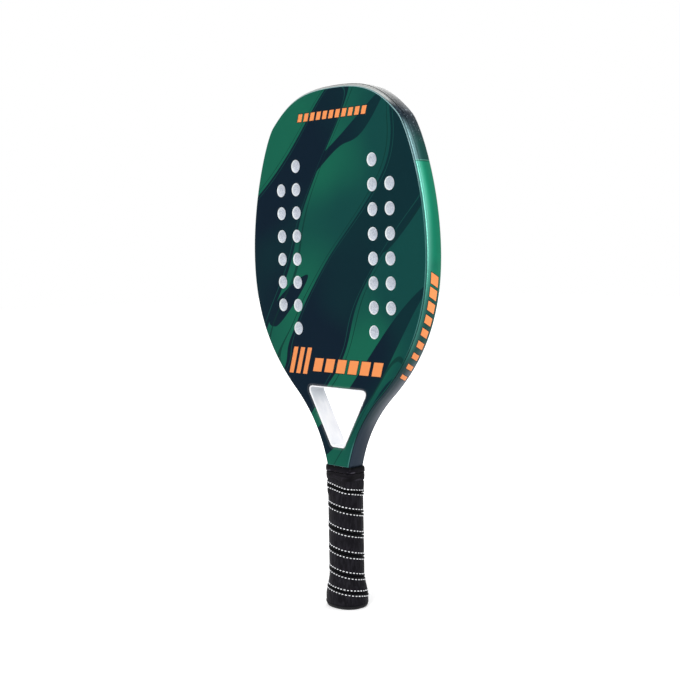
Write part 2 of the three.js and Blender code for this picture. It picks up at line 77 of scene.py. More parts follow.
class Value:
    """An output of a node. Arithmetic on it adds Math nodes to its tree, and a name in brackets
    gives another output of the same node."""

    def __init__(self, socket):
        self.socket = socket

    def __getitem__(self, name):
        return Value(self.socket.node.outputs[name])

    def __add__(self, other):
        return calculate("ADD", self, other)

    def __sub__(self, other):
        return calculate("SUBTRACT", self, other)

    def __rsub__(self, other):
        return calculate("SUBTRACT", other, self)

    def __mul__(self, other):
        return calculate("MULTIPLY", self, other)

    def __truediv__(self, other):
        return calculate("DIVIDE", self, other)

    def __pow__(self, other):
        return calculate("POWER", self, other)

    def __gt__(self, other):
        return calculate("GREATER_THAN", self, other)

    def __lt__(self, other):
        return calculate("LESS_THAN", self, other)

    def __abs__(self):
        return calculate("ABSOLUTE", self)


def feed(node, inputs):
    """Sets the inputs of a node: each to a plain number, colour or the like, or to a value."""
    for key, given in inputs.items():
        if isinstance(given, Value):
            node.id_data.links.new(given.socket, node.inputs[key])
        else:
            node.inputs[key].default_value = given


def add_node(kind, inputs, output=0, tree=None, **settings):
    """A node with its settings and inputs, of which it gives one output. It goes into the tree of
    the values among its inputs, or into the tree that is named."""
    if tree is None:
        tree = next(given.socket.id_data for given in inputs.values() if isinstance(given, Value))
    made = tree.nodes.new(kind)
    for key, setting in settings.items():
        setattr(made, key, setting)
    feed(made, inputs)
    return Value(made.outputs[output])


def calculate(operation, *values):
    return add_node("ShaderNodeMath", dict(enumerate(values)), operation=operation)


def ramp(value, low, high, before=0, after=1):
    """A smooth rise from one number to another, while a value goes from low to high."""
    return add_node("ShaderNodeMapRange", {
        "Value": value, "From Min": low, "From Max": high, "To Min": before, "To Max": after,
    }, interpolation_type="SMOOTHSTEP")


def seen_rays(tree):
    """One on camera, glossy and transmission rays, which see plain white, and nought on others."""
    path = add_node("ShaderNodeLightPath", {}, "Is Camera Ray", tree)
    seen = calculate("MAXIMUM", path, path["Is Glossy Ray"])
    return calculate("MAXIMUM", seen, path["Is Transmission Ray"])


def new_mesh(name, vertices, faces, edges=()):
    mesh = bpy.data.meshes.new(name)
    mesh.from_pydata(vertices, edges, faces)
    return mesh


def build_studio():
    scene = bpy.context.scene
    scene.view_settings.view_transform = "Standard"

    camera = bpy.data.objects.new("camera", bpy.data.cameras.new("camera"))
    camera.data.sensor_width = sensor_width
    camera.data.lens = sensor_width * focal_length_pixels / picture_pixels
    turned = Matrix.Rotation(view_azimuth, 4, "Z") @ Matrix.Rotation(math.pi / 2 - view_elevation, 4, "X")
    camera.matrix_world = Matrix.Translation(camera_place) @ turned @ Matrix.Rotation(view_roll, 4, "Z")
    scene.collection.objects.link(camera)
    scene.camera = camera

    world = bpy.data.worlds.new("soft_daylight")
    scene.world = world
    world.use_nodes = True
    seen = seen_rays(world.node_tree)
    strength = seen + (1 - seen) * day_strength
    feed(world.node_tree.nodes["Background"], {"Color": day_colour, "Strength": strength})

    for name, (place, aim, size, power) in softboxes.items():
        light = bpy.data.lights.new(name, "AREA")
        light.shape = "RECTANGLE"
        light.size, light.size_y = size
        light.energy = power
        lamp = bpy.data.objects.new(name, light)
        lamp.location = place
        lamp.rotation_euler = (Vector(aim) - Vector(place)).to_track_quat("-Z", "Y").to_euler()
        scene.collection.objects.link(lamp)

    paper = bpy.data.materials.new("pale_paper")
    paper.use_nodes = True
    tree = paper.node_tree
    matt = add_node("ShaderNodeBsdfDiffuse", {"Color": floor_colour}, tree=tree)
    place = add_node("ShaderNodeTexCoord", {}, "Object", tree)
    distance = add_node("ShaderNodeVectorMath", {0: place}, "Value", operation="LENGTH")
    whiter = ramp(distance, glow_start, glow_end, near_glow, far_glow)
    glow = add_node("ShaderNodeEmission", {"Strength": seen_rays(tree) * whiter})
    both = add_node("ShaderNodeAddShader", {0: matt, 1: glow})
    feed(tree.nodes["Material Output"], {"Surface": both})

    ways = ((-1, -1), (1, -1), (1, 1), (-1, 1))
    corners = [(x * floor_half, y * floor_half, -floor_drop) for x, y in ways]
    sheet = new_mesh("floor", corners, [range(4)])
    sheet.materials.append(paper)
    floor = bpy.data.objects.new("floor", sheet)
    scene.collection.objects.link(floor)


build_studio()


# Frame rim
# A hollow tube of carbon and glass cloth, moulded in one piece from the legs in the handle
# round the head. It is lacquered green at the cheeks and slate blue towards the handle.
rim_low, rim_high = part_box("frame_tube")
guard_low, guard_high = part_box("edge_guard")
rim_half_width = rim_high.x
rim_half_depth = rim_high.y
leg_half_width = 12.2 * mm
leg_straight_top = 99 * mm
throat_half_width = 58 * mm
throat_height = 198 * mm
throat_splay = math.radians(48.8)
widest_height = 327 * mm
shoulder_lean = math.radians(45.9)
shoulder_width_share = 0.724
shoulder_height_share = 0.8
neck_pull_shares = (0.283, 0.495)
cheek_pull_shares = (0.48, 0.349)
temple_pull_shares = (0.465, 0.122)
crown_pull_shares = (0.433, 0.433)
stretch_steps = 48
tube_width = 7.5 * mm
shoulder_depth = 2.2 * mm
shoulder_drop = 3.2 * mm
side_crown = 0.35 * mm
section_steps = 9
rim_seam_height = guard_low.z
# width and strength of the painted highlight line above the tape's end and the painted shade line below it
seam_line = 0.7 * mm
seam_strength = 0.7
fade_start = 3.5 * mm
fade_power = 4.2
row_top = 309 * mm
row_bottom = 213 * mm
row_bars = 9
row_height = 9.2 * mm
orange = (0.82, 0.28, 0.095)
bar_line = (0.006, 0.012, 0.016)
# In each table of shades, a row has the heights between which a shade turns into the next, and
# the colour of that next one. The waves let those turns drift up and down.
# shares of the way round the section over which the slate turns from its painted shade at the front to
# lighter at the rear
slate_shade_turn_shares = (0.28, 0.68)
slate_heights = (155 * mm, 195 * mm)
cheek_shades = (
    (222 * mm, 262 * mm, (0.004, 0.055, 0.046)),
    (285 * mm, 345 * mm, (0.004, 0.2, 0.112)),
)
cheek_wave = 20 * mm
# heights over which the painted highlight next to the front face grows up the cheek, and heights where it
# starts at the throat
shoulder_highlight_heights = (280 * mm, 352 * mm)
highlight_start_heights = (225 * mm, 250 * mm)
top_shades = (
    (422 * mm, 440 * mm, (0.016, 0.034, 0.043)),
    (436 * mm, 448 * mm, (0.012, 0.022, 0.032)),
    (452 * mm, 474 * mm, (0.07, 0.07, 0.067)),
)
# colour of the painted highlight next to the front face, and the heights where it is strong at the crown and
# at the temples
top_highlight_shade = (440 * mm, 460 * mm, (0.45, 0.47, 0.46))
crown_highlight_heights = (456 * mm, 468 * mm)
temple_highlight_heights = (428 * mm, 446 * mm)
crown_wave = 6 * mm
speckle_heights = (420 * mm, 440 * mm)
fewer_specks_heights = (452 * mm, 470 * mm)


def outline_points():
    """Points of the frame's outline from the right leg over the crown to the left leg."""
    up = Vector((0, 0, 1))
    splay = Vector((math.sin(throat_splay), 0, math.cos(throat_splay)))
    lean = Vector((-math.sin(shoulder_lean), 0, math.cos(shoulder_lean)))
    knee = Vector((leg_half_width, 0, leg_straight_top))
    throat = Vector((throat_half_width, 0, throat_height))
    widest = Vector((rim_half_width, 0, widest_height))
    crown = Vector((0, 0, rim_high.z))
    shoulder = widest.lerp(crown, shoulder_height_share)
    shoulder.x = rim_half_width * shoulder_width_share
    right = [Vector((leg_half_width, 0, rim_low.z)), knee]
    for start, start_way, end, end_way, span, pulls in (
        (knee, up, throat, splay, throat_height - leg_straight_top, neck_pull_shares),
        (throat, splay, widest, up, widest_height - throat_height, cheek_pull_shares),
        (widest, up, shoulder, lean, shoulder.z - widest_height, temple_pull_shares),
        (shoulder, lean, crown, Vector((-1, 0, 0)), shoulder.x, crown_pull_shares),
    ):
        right += geometry.interpolate_bezier(
            start, start + start_way * span * pulls[0], end - end_way * span * pulls[1], end, stretch_steps
        )[1:]
    return right + [Vector((-point.x, 0, point.z)) for point in reversed(right[:-1])]


def with_normals(points):
    """Each point of an open line with the direction that faces out of it."""
    line = []
    for index, point in enumerate(points):
        along = points[min(index + 1, len(points) - 1)] - points[max(index - 1, 0)]
        line.append((point, Vector((along.z, 0, -along.x)).normalized()))
    return line


outline = with_normals(outline_points())


def share_of(value, low, high):
    """How far a value has come from low to high, from 0 to 1."""
    return min(max((value - low) / (high - low), 0), 1)


def half_width_at(height):
    """Half width of the frame at a height below its widest place."""
    for (a, _), (b, _) in pairwise(outline):
        if b.z > height:
            return a.x + (b.x - a.x) * share_of(height, a.z, b.z)


def distances(points):
    """Distances along a line of points, from its first one to each."""
    return [0, *accumulate(math.dist(a, b) for a, b in pairwise(points))]


def from_crown(height):
    """Distance along the outline from the crown down to a height on one side."""
    right = [point for point, outward in outline[:len(outline) // 2 + 1] if point.z > height]
    return distances(right)[-1]


def outline_above(height, distance=0):
    """The outline's points above a height, as a line at that distance, cut on that very height."""
    line = [(point + outward * distance, outward) for point, outward in outline]
    inside = [index for index, (point, outward) in enumerate(line) if point.z > height]
    first, last = inside[0], inside[-1]
    cut = line[first:last + 1]
    ends = ((line[first - 1], line[first], 0), (line[last + 1], line[last], len(cut) + 1))
    for outer, inner, place in ends:
        share = (height - outer[0].z) / (inner[0].z - outer[0].z)
        cut.insert(place, (outer[0].lerp(inner[0], share), inner[1]))
    return cut


def band_between(near, far, count):
    """Faces between two rings of vertices, each given by the number of its first vertex."""
    return [(near + j, near + (j + 1) % count, far + (j + 1) % count, far + j) for j in range(count)]


def ringed_mesh(name, rings, closed=False, uv=None):
    """A mesh through rings of points, which is capped, or closes from its last ring to its first.
    Its UV map, in metres, takes a place along from the ring and one round from the point."""
    count = len(rings[0])
    total = count * len(rings)
    faces = []
    for near in range(0, total if closed else total - count, count):
        faces += band_between(near, (near + count) % total, count)
    if not closed:
        faces += [range(count), range(total - count, total)]
    mesh = new_mesh(name, [point for ring in rings for point in ring], faces)
    if uv:
        layer = mesh.uv_layers.new(name="metres")
        for loop in mesh.loops:
            ring, place = divmod(loop.vertex_index, count)
            layer.data[loop.index].uv = (uv[0][ring], uv[1][place])
    return mesh


def link_piece(mesh, materials, sharp_angle=35):
    """An object at the origin with its faces pointing out, smooth but for its sharp edges."""
    shape = bmesh.new()
    shape.from_mesh(mesh)
    bmesh.ops.recalc_face_normals(shape, faces=shape.faces)
    shape.to_mesh(mesh)
    shape.free()
    mesh.shade_smooth()
    mesh.set_sharp_from_angle(angle=math.radians(sharp_angle))
    for material in materials:
        mesh.materials.append(material)
    piece = bpy.data.objects.new(mesh.name, mesh)
    bpy.context.scene.collection.objects.link(piece)
    return piece


def swept(name, line, section, material):
    """A closed section of (outwards, depth) points, swept along a line; its UV map is in metres,
    along the line from its middle and round the section."""
    rings = [
        [point + outward * out + Vector((0, depth, 0)) for out, depth in section] for point, outward in line
    ]
    lengths = distances([point for point, outward in line])
    along = [lengths[-1] / 2 - length for length in lengths]
    return link_piece(ringed_mesh(name, rings, uv=(along, distances(section))), [material])


def curve_between(start, pull, end, steps):
    """Points of a round corner in a section, without its first one."""
    return [
        tuple((1 - t) ** 2 * a + 2 * (1 - t) * t * b + t ** 2 * c for a, b, c in zip(start, pull, end))
        for t in (k / steps for k in range(1, steps + 1))
    ]


side_half = rim_half_depth - shoulder_drop
shoulder_start = (-shoulder_depth, -rim_half_depth)
shoulder_end = (-side_crown, -side_half)
half_section = [(-tube_width, -rim_half_depth), shoulder_start]
half_section += curve_between(shoulder_start, (-side_crown, -rim_half_depth), shoulder_end, section_steps)
half_section += curve_between(shoulder_end, (0, -side_half / 2), (0, 0), section_steps)
tube_section = half_section + [(out, -depth) for out, depth in reversed(half_section[:-1])]


def new_material(name, surface):
    """A Principled material, with its constants on the shader's own sockets, and the place on the
    piece as a value in its tree."""
    material = bpy.data.materials.new(name)
    material.use_nodes = True
    feed(material.node_tree.nodes["Principled BSDF"], surface)
    return material, add_node("ShaderNodeTexCoord", {}, "Object", material.node_tree)


def complete(material, colour, relief, depth, strength, **varying):
    """Gives a material its colour, a relief of some depth as bump, and what else varies."""
    bump = add_node("ShaderNodeBump", {"Height": relief, "Distance": depth, "Strength": strength})
    shader = material.node_tree.nodes["Principled BSDF"]
    feed(shader, {"Base Color": colour, "Normal": bump, **varying})
    return material


def blend(share, first, second):
    """A mix of two colours, each a value or red, green and blue. On a Mix node of colours they are
    the inputs 6 and 7, and the mix is output 2."""
    first, second = (colour if isinstance(colour, Value) else (*colour, 1) for colour in (first, second))
    return add_node("ShaderNodeMix", {0: share, 6: first, 7: second}, 2, data_type="RGBA")


def shade_up(value, colour, *steps):
    """A colour that turns into that of each step, while a value goes from its low to its high."""
    for low, high, above in steps:
        colour = blend(ramp(value, low, high), colour, above)
    return colour


def axes(place):
    return add_node("ShaderNodeSeparateXYZ", {0: place})


def noise(place, scale, **inputs):
    return add_node("ShaderNodeTexNoise", {"Vector": place, "Scale": scale, **inputs}, "Fac")


def new_group(name, kind, inputs, outputs):
    """An empty node group, its inputs as values and its output node. Each socket has its type, or
    the number that a float socket starts with."""
    tree = bpy.data.node_groups.new(name, kind)
    for way, sockets in (("INPUT", inputs), ("OUTPUT", outputs)):
        for label, start in sockets.items():
            is_typed = isinstance(start, str)
            socket_type = "NodeSocket" + (start if is_typed else "Float")
            socket = tree.interface.new_socket(label, in_out=way, socket_type=socket_type)
            if not is_typed:
                socket.default_value = start
    given = tree.nodes.new("NodeGroupInput").outputs
    return tree, {label: Value(given[label]) for label in inputs}, tree.nodes.new("NodeGroupOutput")


def add_group(group, inputs):
    return add_node("ShaderNodeGroup", inputs, node_tree=group)


def build_bars_group():
    """A row of slanted bars that get slimmer along it, over coordinates in metres along and
    across the row. It gives a mask of the bars and one of a thin line round them."""
    tree, given, result = new_group("slanted_bars", "ShaderNodeTree", {
        "Along": 0, "Across": 0, "Start": 0, "Middle": 0, "Pitch": 10 * mm, "Count": 5, "Share": 0.6,
        "Slimming": 0, "Height": 10 * mm, "Slant": 0.4, "Line Width": 0.6 * mm,
    }, {"Mask": 0, "Line": 0})
    across = given["Across"] - given["Middle"]
    cell = (given["Along"] - given["Start"] - across * given["Slant"]) / given["Pitch"]
    in_row = (cell > 0) * (cell < given["Count"])
    half_bar = (given["Share"] - calculate("FLOOR", cell) * given["Slimming"]) * 0.5
    past_side = (abs(calculate("FRACT", cell) - 0.5) - half_bar) * given["Pitch"]
    past = calculate("MAXIMUM", past_side, abs(across) - given["Height"] * 0.5)
    feed(result, {"Mask": in_row * (past < 0), "Line": in_row * (past < given["Line Width"])})
    return tree


def build_grain_group():
    """Fine dust and paint grain: a colour mask, a roughness change and a bump height."""
    tree, given, result = new_group(
        "lacquer_grain", "ShaderNodeTree", {"Vector": "Vector", "Grain Scale": 1400},
        {"Speck": 0, "Cloud": 0, "Height": 0},
    )
    fine = noise(given["Vector"], given["Grain Scale"], Detail=3)
    broad = noise(given["Vector"], 28, Detail=4)
    feed(result, {"Speck": ramp(fine, 0.6, 0.78), "Cloud": ramp(broad, 0.3, 0.7), "Height": fine})
    return tree


def build_fade_group():
    """How far a place on the rim has turned to the front face, with a steep rise at its edge; it places the
    painted highlight next to the front face.
    """
    tree, given, result = new_group("front_highlight_fade", "ShaderNodeTree", {"Vector": "Vector"}, {"Fade": 0})
    share = add_node("ShaderNodeMapRange", {
        "Value": axes(given["Vector"])["Y"], "From Min": fade_start, "From Max": -rim_half_depth,
    })
    feed(result, {"Fade": share ** fade_power})
    return tree


slanted_bars = build_bars_group()
lacquer_grain = build_grain_group()
front_highlight_fade = build_fade_group()


def grain_on(place, scale=1400):
    return add_group(lacquer_grain, {"Vector": place, "Grain Scale": scale})


def build_crown_group():
    """Shades of the rim's top: warm grey at the crown, speckled slate, then dark teal. A painted highlight
    lies next to the front face, but for the speckled stretch, and a painted highlight line lies on the
    tape's cut end."""
    tree, given, result = new_group(
        "crown_shades", "ShaderNodeTree", {"Vector": "Vector"}, {"Color": "Color"}
    )
    place = given["Vector"]
    grain = grain_on(place, 650)
    level = axes(place)["Z"]
    height = level + grain["Cloud"] * crown_wave
    colour = shade_up(height, (0.006, 0.058, 0.05), *top_shades)
    # painted highlight next to the front face
    pale = shade_up(height, (0.19, 0.33, 0.35), top_highlight_shade)
    highlight_strength = ramp(height, *crown_highlight_heights) + (1 - ramp(height, *temple_highlight_heights))
    colour = blend(highlight_strength * add_group(front_highlight_fade, {"Vector": place}), colour, pale)
    speckled = ramp(height, *speckle_heights) * grain["Speck"]
    speckled *= (1 - ramp(height, *fewer_specks_heights)) * 0.7 + 0.5
    colour = blend(speckled, colour, (0.3, 0.37, 0.43))
    # painted highlight: a light line on the tape's cut end, just above the seam
    cut_end_highlight = level < rim_seam_height + seam_line
    feed(result, {"Color": blend(cut_end_highlight * seam_strength, colour, (0.12, 0.36, 0.28))})
    return tree


crown_shades = build_crown_group()


def paint_bars(colour, inputs):
    """A row of orange bars with a thin dark line round each, over a colour."""
    row = add_group(slanted_bars, inputs)
    return blend(row["Mask"], blend(row["Line"], colour, bar_line), orange)


def rim_lacquer():
    """Pearly green lacquer with a painted highlight next to the front face. It turns dark and then slate
    blue down the cheek, where the slate has painted shade on the front half of its section, with a row of
    bars on each side.
    A dark line of painted shade lies just below the tape's ends, and above them it has the crown's shades."""
    material, place = new_material("rim_lacquer", {
        "Coat Weight": 0.06, "Coat Roughness": 0.15, "Specular IOR Level": 0.03, "Metallic": 0.6,
    })
    height = axes(place)["Z"]
    grain = grain_on(place)
    metres = axes(add_node("ShaderNodeUVMap", {}, tree=material.node_tree, uv_map="metres"))
    tube_round = distances(tube_section)[-1]
    # painted shade: the slate is darker on the front half of the section and lighter towards the rear
    turned = ramp(metres["Y"] / tube_round, *slate_shade_turn_shares)
    slate = blend(turned, (0.022, 0.04, 0.05), (0.085, 0.1, 0.125))
    waved = height + grain["Cloud"] * cheek_wave
    colour = shade_up(waved, (0.024, 0.036, 0.053), (*slate_heights, slate), *cheek_shades)
    # painted highlight on the rim next to the front face
    shoulder_highlight = (ramp(height, *shoulder_highlight_heights) * 0.8 + 0.2) * ramp(height, *highlight_start_heights)
    colour = blend(add_group(front_highlight_fade, {"Vector": place}) * shoulder_highlight, colour, (0.17, 0.53, 0.44))
    # painted shade: a dark line just below the tape's end
    under_seam_shade = height > rim_seam_height - seam_line
    colour = blend(under_seam_shade * seam_strength, colour, (0.004, 0.07, 0.05))
    colour = blend(height > rim_seam_height, colour, add_group(crown_shades, {"Vector": place}))
    colour = paint_bars(colour, {
        "Along": abs(metres["X"]), "Across": metres["Y"], "Start": from_crown(row_top),
        "Middle": tube_round / 2, "Count": row_bars, "Share": 0.78, "Slimming": 0.05, "Slant": 0.5,
        "Pitch": (from_crown(row_bottom) - from_crown(row_top)) / row_bars, "Height": row_height,
    })
    return complete(
        material, colour, grain["Height"], 0.02 * mm, 0.4, Roughness=grain["Cloud"] * 0.08 + 0.3
    )


frame_rim = swept("frame_rim", outline, tube_section, rim_lacquer())
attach(frame_rim, "root")
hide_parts("frame_tube")


# Edge tape
# A thin tape laid over the top of the rim against scrapes in the sand. It ends in a straight
# cut at both cheeks, grey at the crown and dark towards its ends.
tape_gap = 0.12 * mm
tape_thickness = guard_high.z - rim_high.z - tape_gap
tape_round = 0.12 * mm
tape_steps = 16


def tape_section():
    depths = [guard_high.y * (2 * k / tape_steps - 1) for k in range(tape_steps + 1)]
    under = [(tape_gap - side_crown * (depth / side_half) ** 2, depth) for depth in depths]
    over = [(out + tape_thickness, depth) for out, depth in under]
    (first_out, first_depth), (last_out, last_depth) = over[0], over[-1]
    over[0] = (first_out - tape_round, first_depth)
    over[-1] = (last_out - tape_round, last_depth)
    over.insert(1, (over[1][0], first_depth + tape_round))
    over.insert(-1, (over[-2][0], last_depth - tape_round))
    return under + over[::-1]


def guard_tape():
    """Clear tape that shows the speckled shades of the rim under it."""
    material, place = new_material("guard_tape", {
        "Coat Weight": 0.05, "Coat Roughness": 0.2, "Specular IOR Level": 0.02, "Metallic": 0.5,
    })
    grain = grain_on(place, 900)
    colour = add_group(crown_shades, {"Vector": place})
    return complete(
        material, colour, grain["Height"], 0.05 * mm, 0.5, Roughness=grain["Cloud"] * 0.12 + 0.32
    )


edge_tape = swept("edge_tape", outline_above(guard_low.z), tape_section(), guard_tape())
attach(edge_tape, "root")
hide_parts("edge_guard")


# Faces
# Two thin composite sheets, printed with flowing bands and bonded over the core and the tube.
# Their edges are eased by sanding, and the air holes are drilled through sheets and core. The eased
# outer edge carries a painted highlight, and the sawn edge is painted near black as the shade of the crease
# beside the rim.
face_low, face_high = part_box("front_skin")
sheet_depth = -face_low.y
sheet_thickness = face_high.y - face_low.y
sheet_inset = shoulder_depth
edge_ease = 0.7 * mm
throat_ease_width = 1.8 * mm
throat_ease_depth = 0.95 * mm
far_ease_share = 0.125
ease_steps = 6
bond_line = 0.2 * mm
lip_width = 1.2 * mm
opening_top = 203.3 * mm
opening_bottom = 150.45 * mm
opening_top_share = 0.702
opening_bottom_share = 0.517
opening_top_radius = 4 * mm
opening_bottom_radius = 3.5 * mm
corner_steps = 12
fill_spacing = 7 * mm
fill_tolerance = 1e-7
sharpest_mitre = 0.3
hole_diameter = 12 * mm
hole_pitch = 21.7 * mm
hole_first_column = 51.4 * mm
hole_grid_centre = 333.6 * mm
inner_rows = 8
outer_rows = 6
hole_flare = 0.45 * mm
hole_sides = 64
printed, eased, sawn, dished = range(4)
fewer_bands_heights = (150 * mm, 250 * mm)
# start, middle, pitch, count, share of bar in its pitch and height of each row of bars
bar_rows = (
    (-48 * mm, 453.5 * mm, 8.6 * mm, 11, 0.66, 7.2 * mm),
    (-64 * mm, 227.5 * mm, 9.8 * mm, 3, 0.6, 25 * mm),
    (-32 * mm, 224.5 * mm, 15.8 * mm, 6, 0.74, 12.5 * mm),
)
# middle and half width of the thin lines beside a band's edge, in the noise that draws the band
band_lines = {"Dark Line": (-0.022, 0.0035), "Light Line": (0.016, 0.0022)}
band_softness = 0.001
line_core_share = 0.6
# colours of the painted highlight along the eased outer edge, palest at the crown and dark along the throat
mid_edge_highlight = (0.06, 0.2, 0.185)
edge_highlight_shades = (
    (145 * mm, 165 * mm, (0.008, 0.06, 0.05)),
    (230 * mm, 270 * mm, mid_edge_highlight),
    (370 * mm, 410 * mm, (0.24, 0.4, 0.42)),
)


def offset_loop(loop, distance):
    """A closed loop of points, grown by a distance with its corners mitred."""
    doubled_area = sum(a.x * b.z - b.x * a.z for a, b in zip(loop, loop[1:] + loop[:1]))
    turn = 1 if doubled_area > 0 else -1
    grown = []
    for before, point, after in zip(loop[-1:] + loop[:-1], loop, loop[1:] + loop[:1]):
        first = Vector((point.z - before.z, 0, before.x - point.x)).normalized()
        second = Vector((after.z - point.z, 0, point.x - after.x)).normalized()
        mitre = (first + second).normalized()
        grown.append(point + mitre * turn * distance / max(mitre.dot(first), sharpest_mitre))
    return grown


def throat_loop(margin):
    """The throat opening: a trapezoid with round corners, widened by a margin."""
    top_half = (half_width_at(opening_top) - tube_width) * opening_top_share
    bottom_half = (half_width_at(opening_bottom) - tube_width) * opening_bottom_share
    corners = [
        (Vector((-top_half, 0, opening_top)), opening_top_radius),
        (Vector((top_half, 0, opening_top)), opening_top_radius),
        (Vector((bottom_half, 0, opening_bottom)), opening_bottom_radius),
        (Vector((-bottom_half, 0, opening_bottom)), opening_bottom_radius),
    ]
    loop = []
    for index, (corner, radius) in enumerate(corners):
        to_before = (corners[index - 1][0] - corner).normalized()
        to_after = (corners[(index + 1) % 4][0] - corner).normalized()
        half_angle = to_before.angle(to_after) / 2
        tip = corner - (to_before + to_after).normalized() * margin / math.sin(half_angle)
        setback = (radius + margin) / math.tan(half_angle)
        start = tip + to_before * setback
        bend = curve_between(start, tip, tip + to_after * setback, corner_steps)
        loop += [start, *map(Vector, bend)]
    return loop


def inside_loop(point, loop):
    crossed = False
    for a, b in zip(loop, loop[1:] + loop[:1]):
        if (a.z > point.z) != (b.z > point.z):
            crossed ^= point.x < a.x + (b.x - a.x) * (point.z - a.z) / (b.z - a.z)
    return crossed


def plate(name, borders, materials):
    """A flat body from its borders, each a loop with a profile of (growth, depth, finish) rings
    that runs from one face to the other; growth is away from the material, and finish is the
    material down to the next ring. The first border is the outside."""
    vertices, faces, finishes, loops, edges, rim_pairs = [], [], [], [], [], []
    for loop, profile in borders:
        way = -1 if loops else 1
        count, first = len(loop), len(vertices)
        for growth, depth, _ in profile:
            vertices += [Vector((p.x, depth, p.z)) for p in offset_loop(loop, way * growth)]
        for ring, (_, _, finish) in enumerate(profile[:-1]):
            faces += band_between(first + ring * count, first + (ring + 1) * count, count)
            finishes += [finish] * count
        last = len(vertices) - count
        edges += [(len(rim_pairs) + j, len(rim_pairs) + (j + 1) % count) for j in range(count)]
        rim_pairs += [(first + j, last + j) for j in range(count)]
        loops.append(vertices[first:first + count])

    def on_plate(spot):
        return inside_loop(spot, loops[0]) and not any(inside_loop(spot, loop) for loop in loops[1:])

    rims = [point for loop in loops for point in loop]
    flat = [Vector((point.x, point.z)) for point in rims]
    low, high = Vector(map(min, *flat)), Vector(map(max, *flat))
    columns, rows = (range(int(span / fill_spacing)) for span in high - low)
    for column, row in product(columns, rows):
        spot = Vector((low.x + (column + 0.5) * fill_spacing, 0, low.y + (row + 0.5) * fill_spacing))
        if on_plate(spot) and min((spot - point).length for point in rims) > fill_spacing / 2:
            flat.append(Vector((spot.x, spot.z)))
    spots, _, triangles, sources = geometry.delaunay_2d_cdt(flat, edges, [], 1, fill_tolerance)[:4]
    for face_end in (0, 1):
        depth = borders[0][1][-face_end][1]
        numbers = []
        for spot, (source, *_) in zip(spots, sources):
            if source < len(rim_pairs):
                numbers.append(rim_pairs[source][face_end])
            else:
                numbers.append(len(vertices))
                vertices.append(Vector((spot.x, depth, spot.y)))
        for triangle in triangles:
            centre = sum((spots[i] for i in triangle), Vector((0, 0))) / 3
            if on_plate(Vector((centre.x, 0, centre.y))):
                faces.append([numbers[i] for i in triangle])
                finishes.append(printed)

    mesh = new_mesh(name, vertices, faces)
    mesh.polygons.foreach_set("material_index", finishes)
    return link_piece(mesh, materials, sharp_angle=50)


def quarter_round(width, drop):
    """Steps of a rounded edge: how far each lies inside the edge, and how far below the face."""
    turns = [math.pi / 2 * k / ease_steps for k in range(ease_steps + 1)]
    return [(width * (math.sin(turn) - 1), drop * (1 - math.cos(turn))) for turn in turns]


def eased_profile(width, drop, near_face, far_face, finish):
    """Rings from one face round an eased edge, down the sawn wall and round to the other face."""
    way = 1 if far_face > near_face else -1
    rings = [(growth, near_face + way * below, finish) for growth, below in quarter_round(width, drop)]
    rings[-1] = (*rings[-1][:2], sawn)
    return rings + [(0, far_face - way * drop * far_ease_share, sawn), (-width, far_face, sawn)]


def vector(**parts):
    return add_node("ShaderNodeCombineXYZ", parts)


def real_meshes(instances, material, **inputs):
    """Instances made real, with their material."""
    whole = add_node("GeometryNodeRealizeInstances", {"Geometry": instances})
    return add_node("GeometryNodeSetMaterial", {"Geometry": whole, "Material": material, **inputs})


def build_air_holes_tree():
    """Drills the air holes: two tall inner columns and two shorter outer ones."""
    tree, given, result = new_group("air_holes", "GeometryNodeTree", {
        "Geometry": "Geometry", "Hole Diameter": 0, "Hole Pitch": 0, "First Column": 0, "Grid Centre": 0,
        "Inner Rows": "Int", "Outer Rows": "Int", "Flare": 0, "Face Depth": 0, "Wall Material": "Material",
    }, {"Geometry": "Geometry"})
    pitch, flare, wall = given["Hole Pitch"], given["Flare"], given["Wall Material"]

    def column(rows, across):
        low = given["Grid Centre"] - (rows - 1) * 0.5 * pitch
        return add_node("GeometryNodeMeshLine", {
            "Count": rows, "Start Location": vector(X=across, Z=low), "Offset": vector(Z=pitch),
        })

    def joined(*parts):
        join = tree.nodes.new("GeometryNodeJoinGeometry")
        for part in parts:
            feed(join, {0: part})
        return Value(join.outputs[0])

    def moved(part, **inputs):
        return add_node("GeometryNodeTransform", {"Geometry": part, **inputs})

    right = joined(
        column(given["Inner Rows"], given["First Column"]),
        column(given["Outer Rows"], given["First Column"] + pitch),
    )
    centres = joined(right, moved(right, Scale=(-1, 1, 1)))

    edge = given["Hole Diameter"] * 0.5
    radius = edge - flare
    drill = add_node("GeometryNodeMeshCylinder", {
        "Vertices": hole_sides, "Radius": radius, "Depth": given["Face Depth"] * 4,
    })
    sink = add_node("GeometryNodeMeshCone", {
        "Vertices": hole_sides, "Radius Top": edge + flare, "Radius Bottom": radius, "Depth": flare * 2,
    })
    near_sink = moved(sink, Translation=vector(Z=given["Face Depth"] - flare))
    sinks = joined(near_sink, moved(near_sink, Rotation=(math.pi, 0, 0)))

    body = given["Geometry"]
    for cutter in (drill, sinks):
        level = moved(cutter, Rotation=(math.pi / 2, 0, 0))
        copies = add_node("GeometryNodeInstanceOnPoints", {"Points": centres, "Instance": level})
        body = add_node(
            "GeometryNodeMeshBoolean", {"Mesh 1": body, "Mesh 2": real_meshes(copies, wall)},
            operation="DIFFERENCE", solver="EXACT",
        )
    walls = add_node("GeometryNodeMaterialSelection", {"Material": wall})
    feed(result, {0: real_meshes(body, wall, Selection=walls)})
    return tree


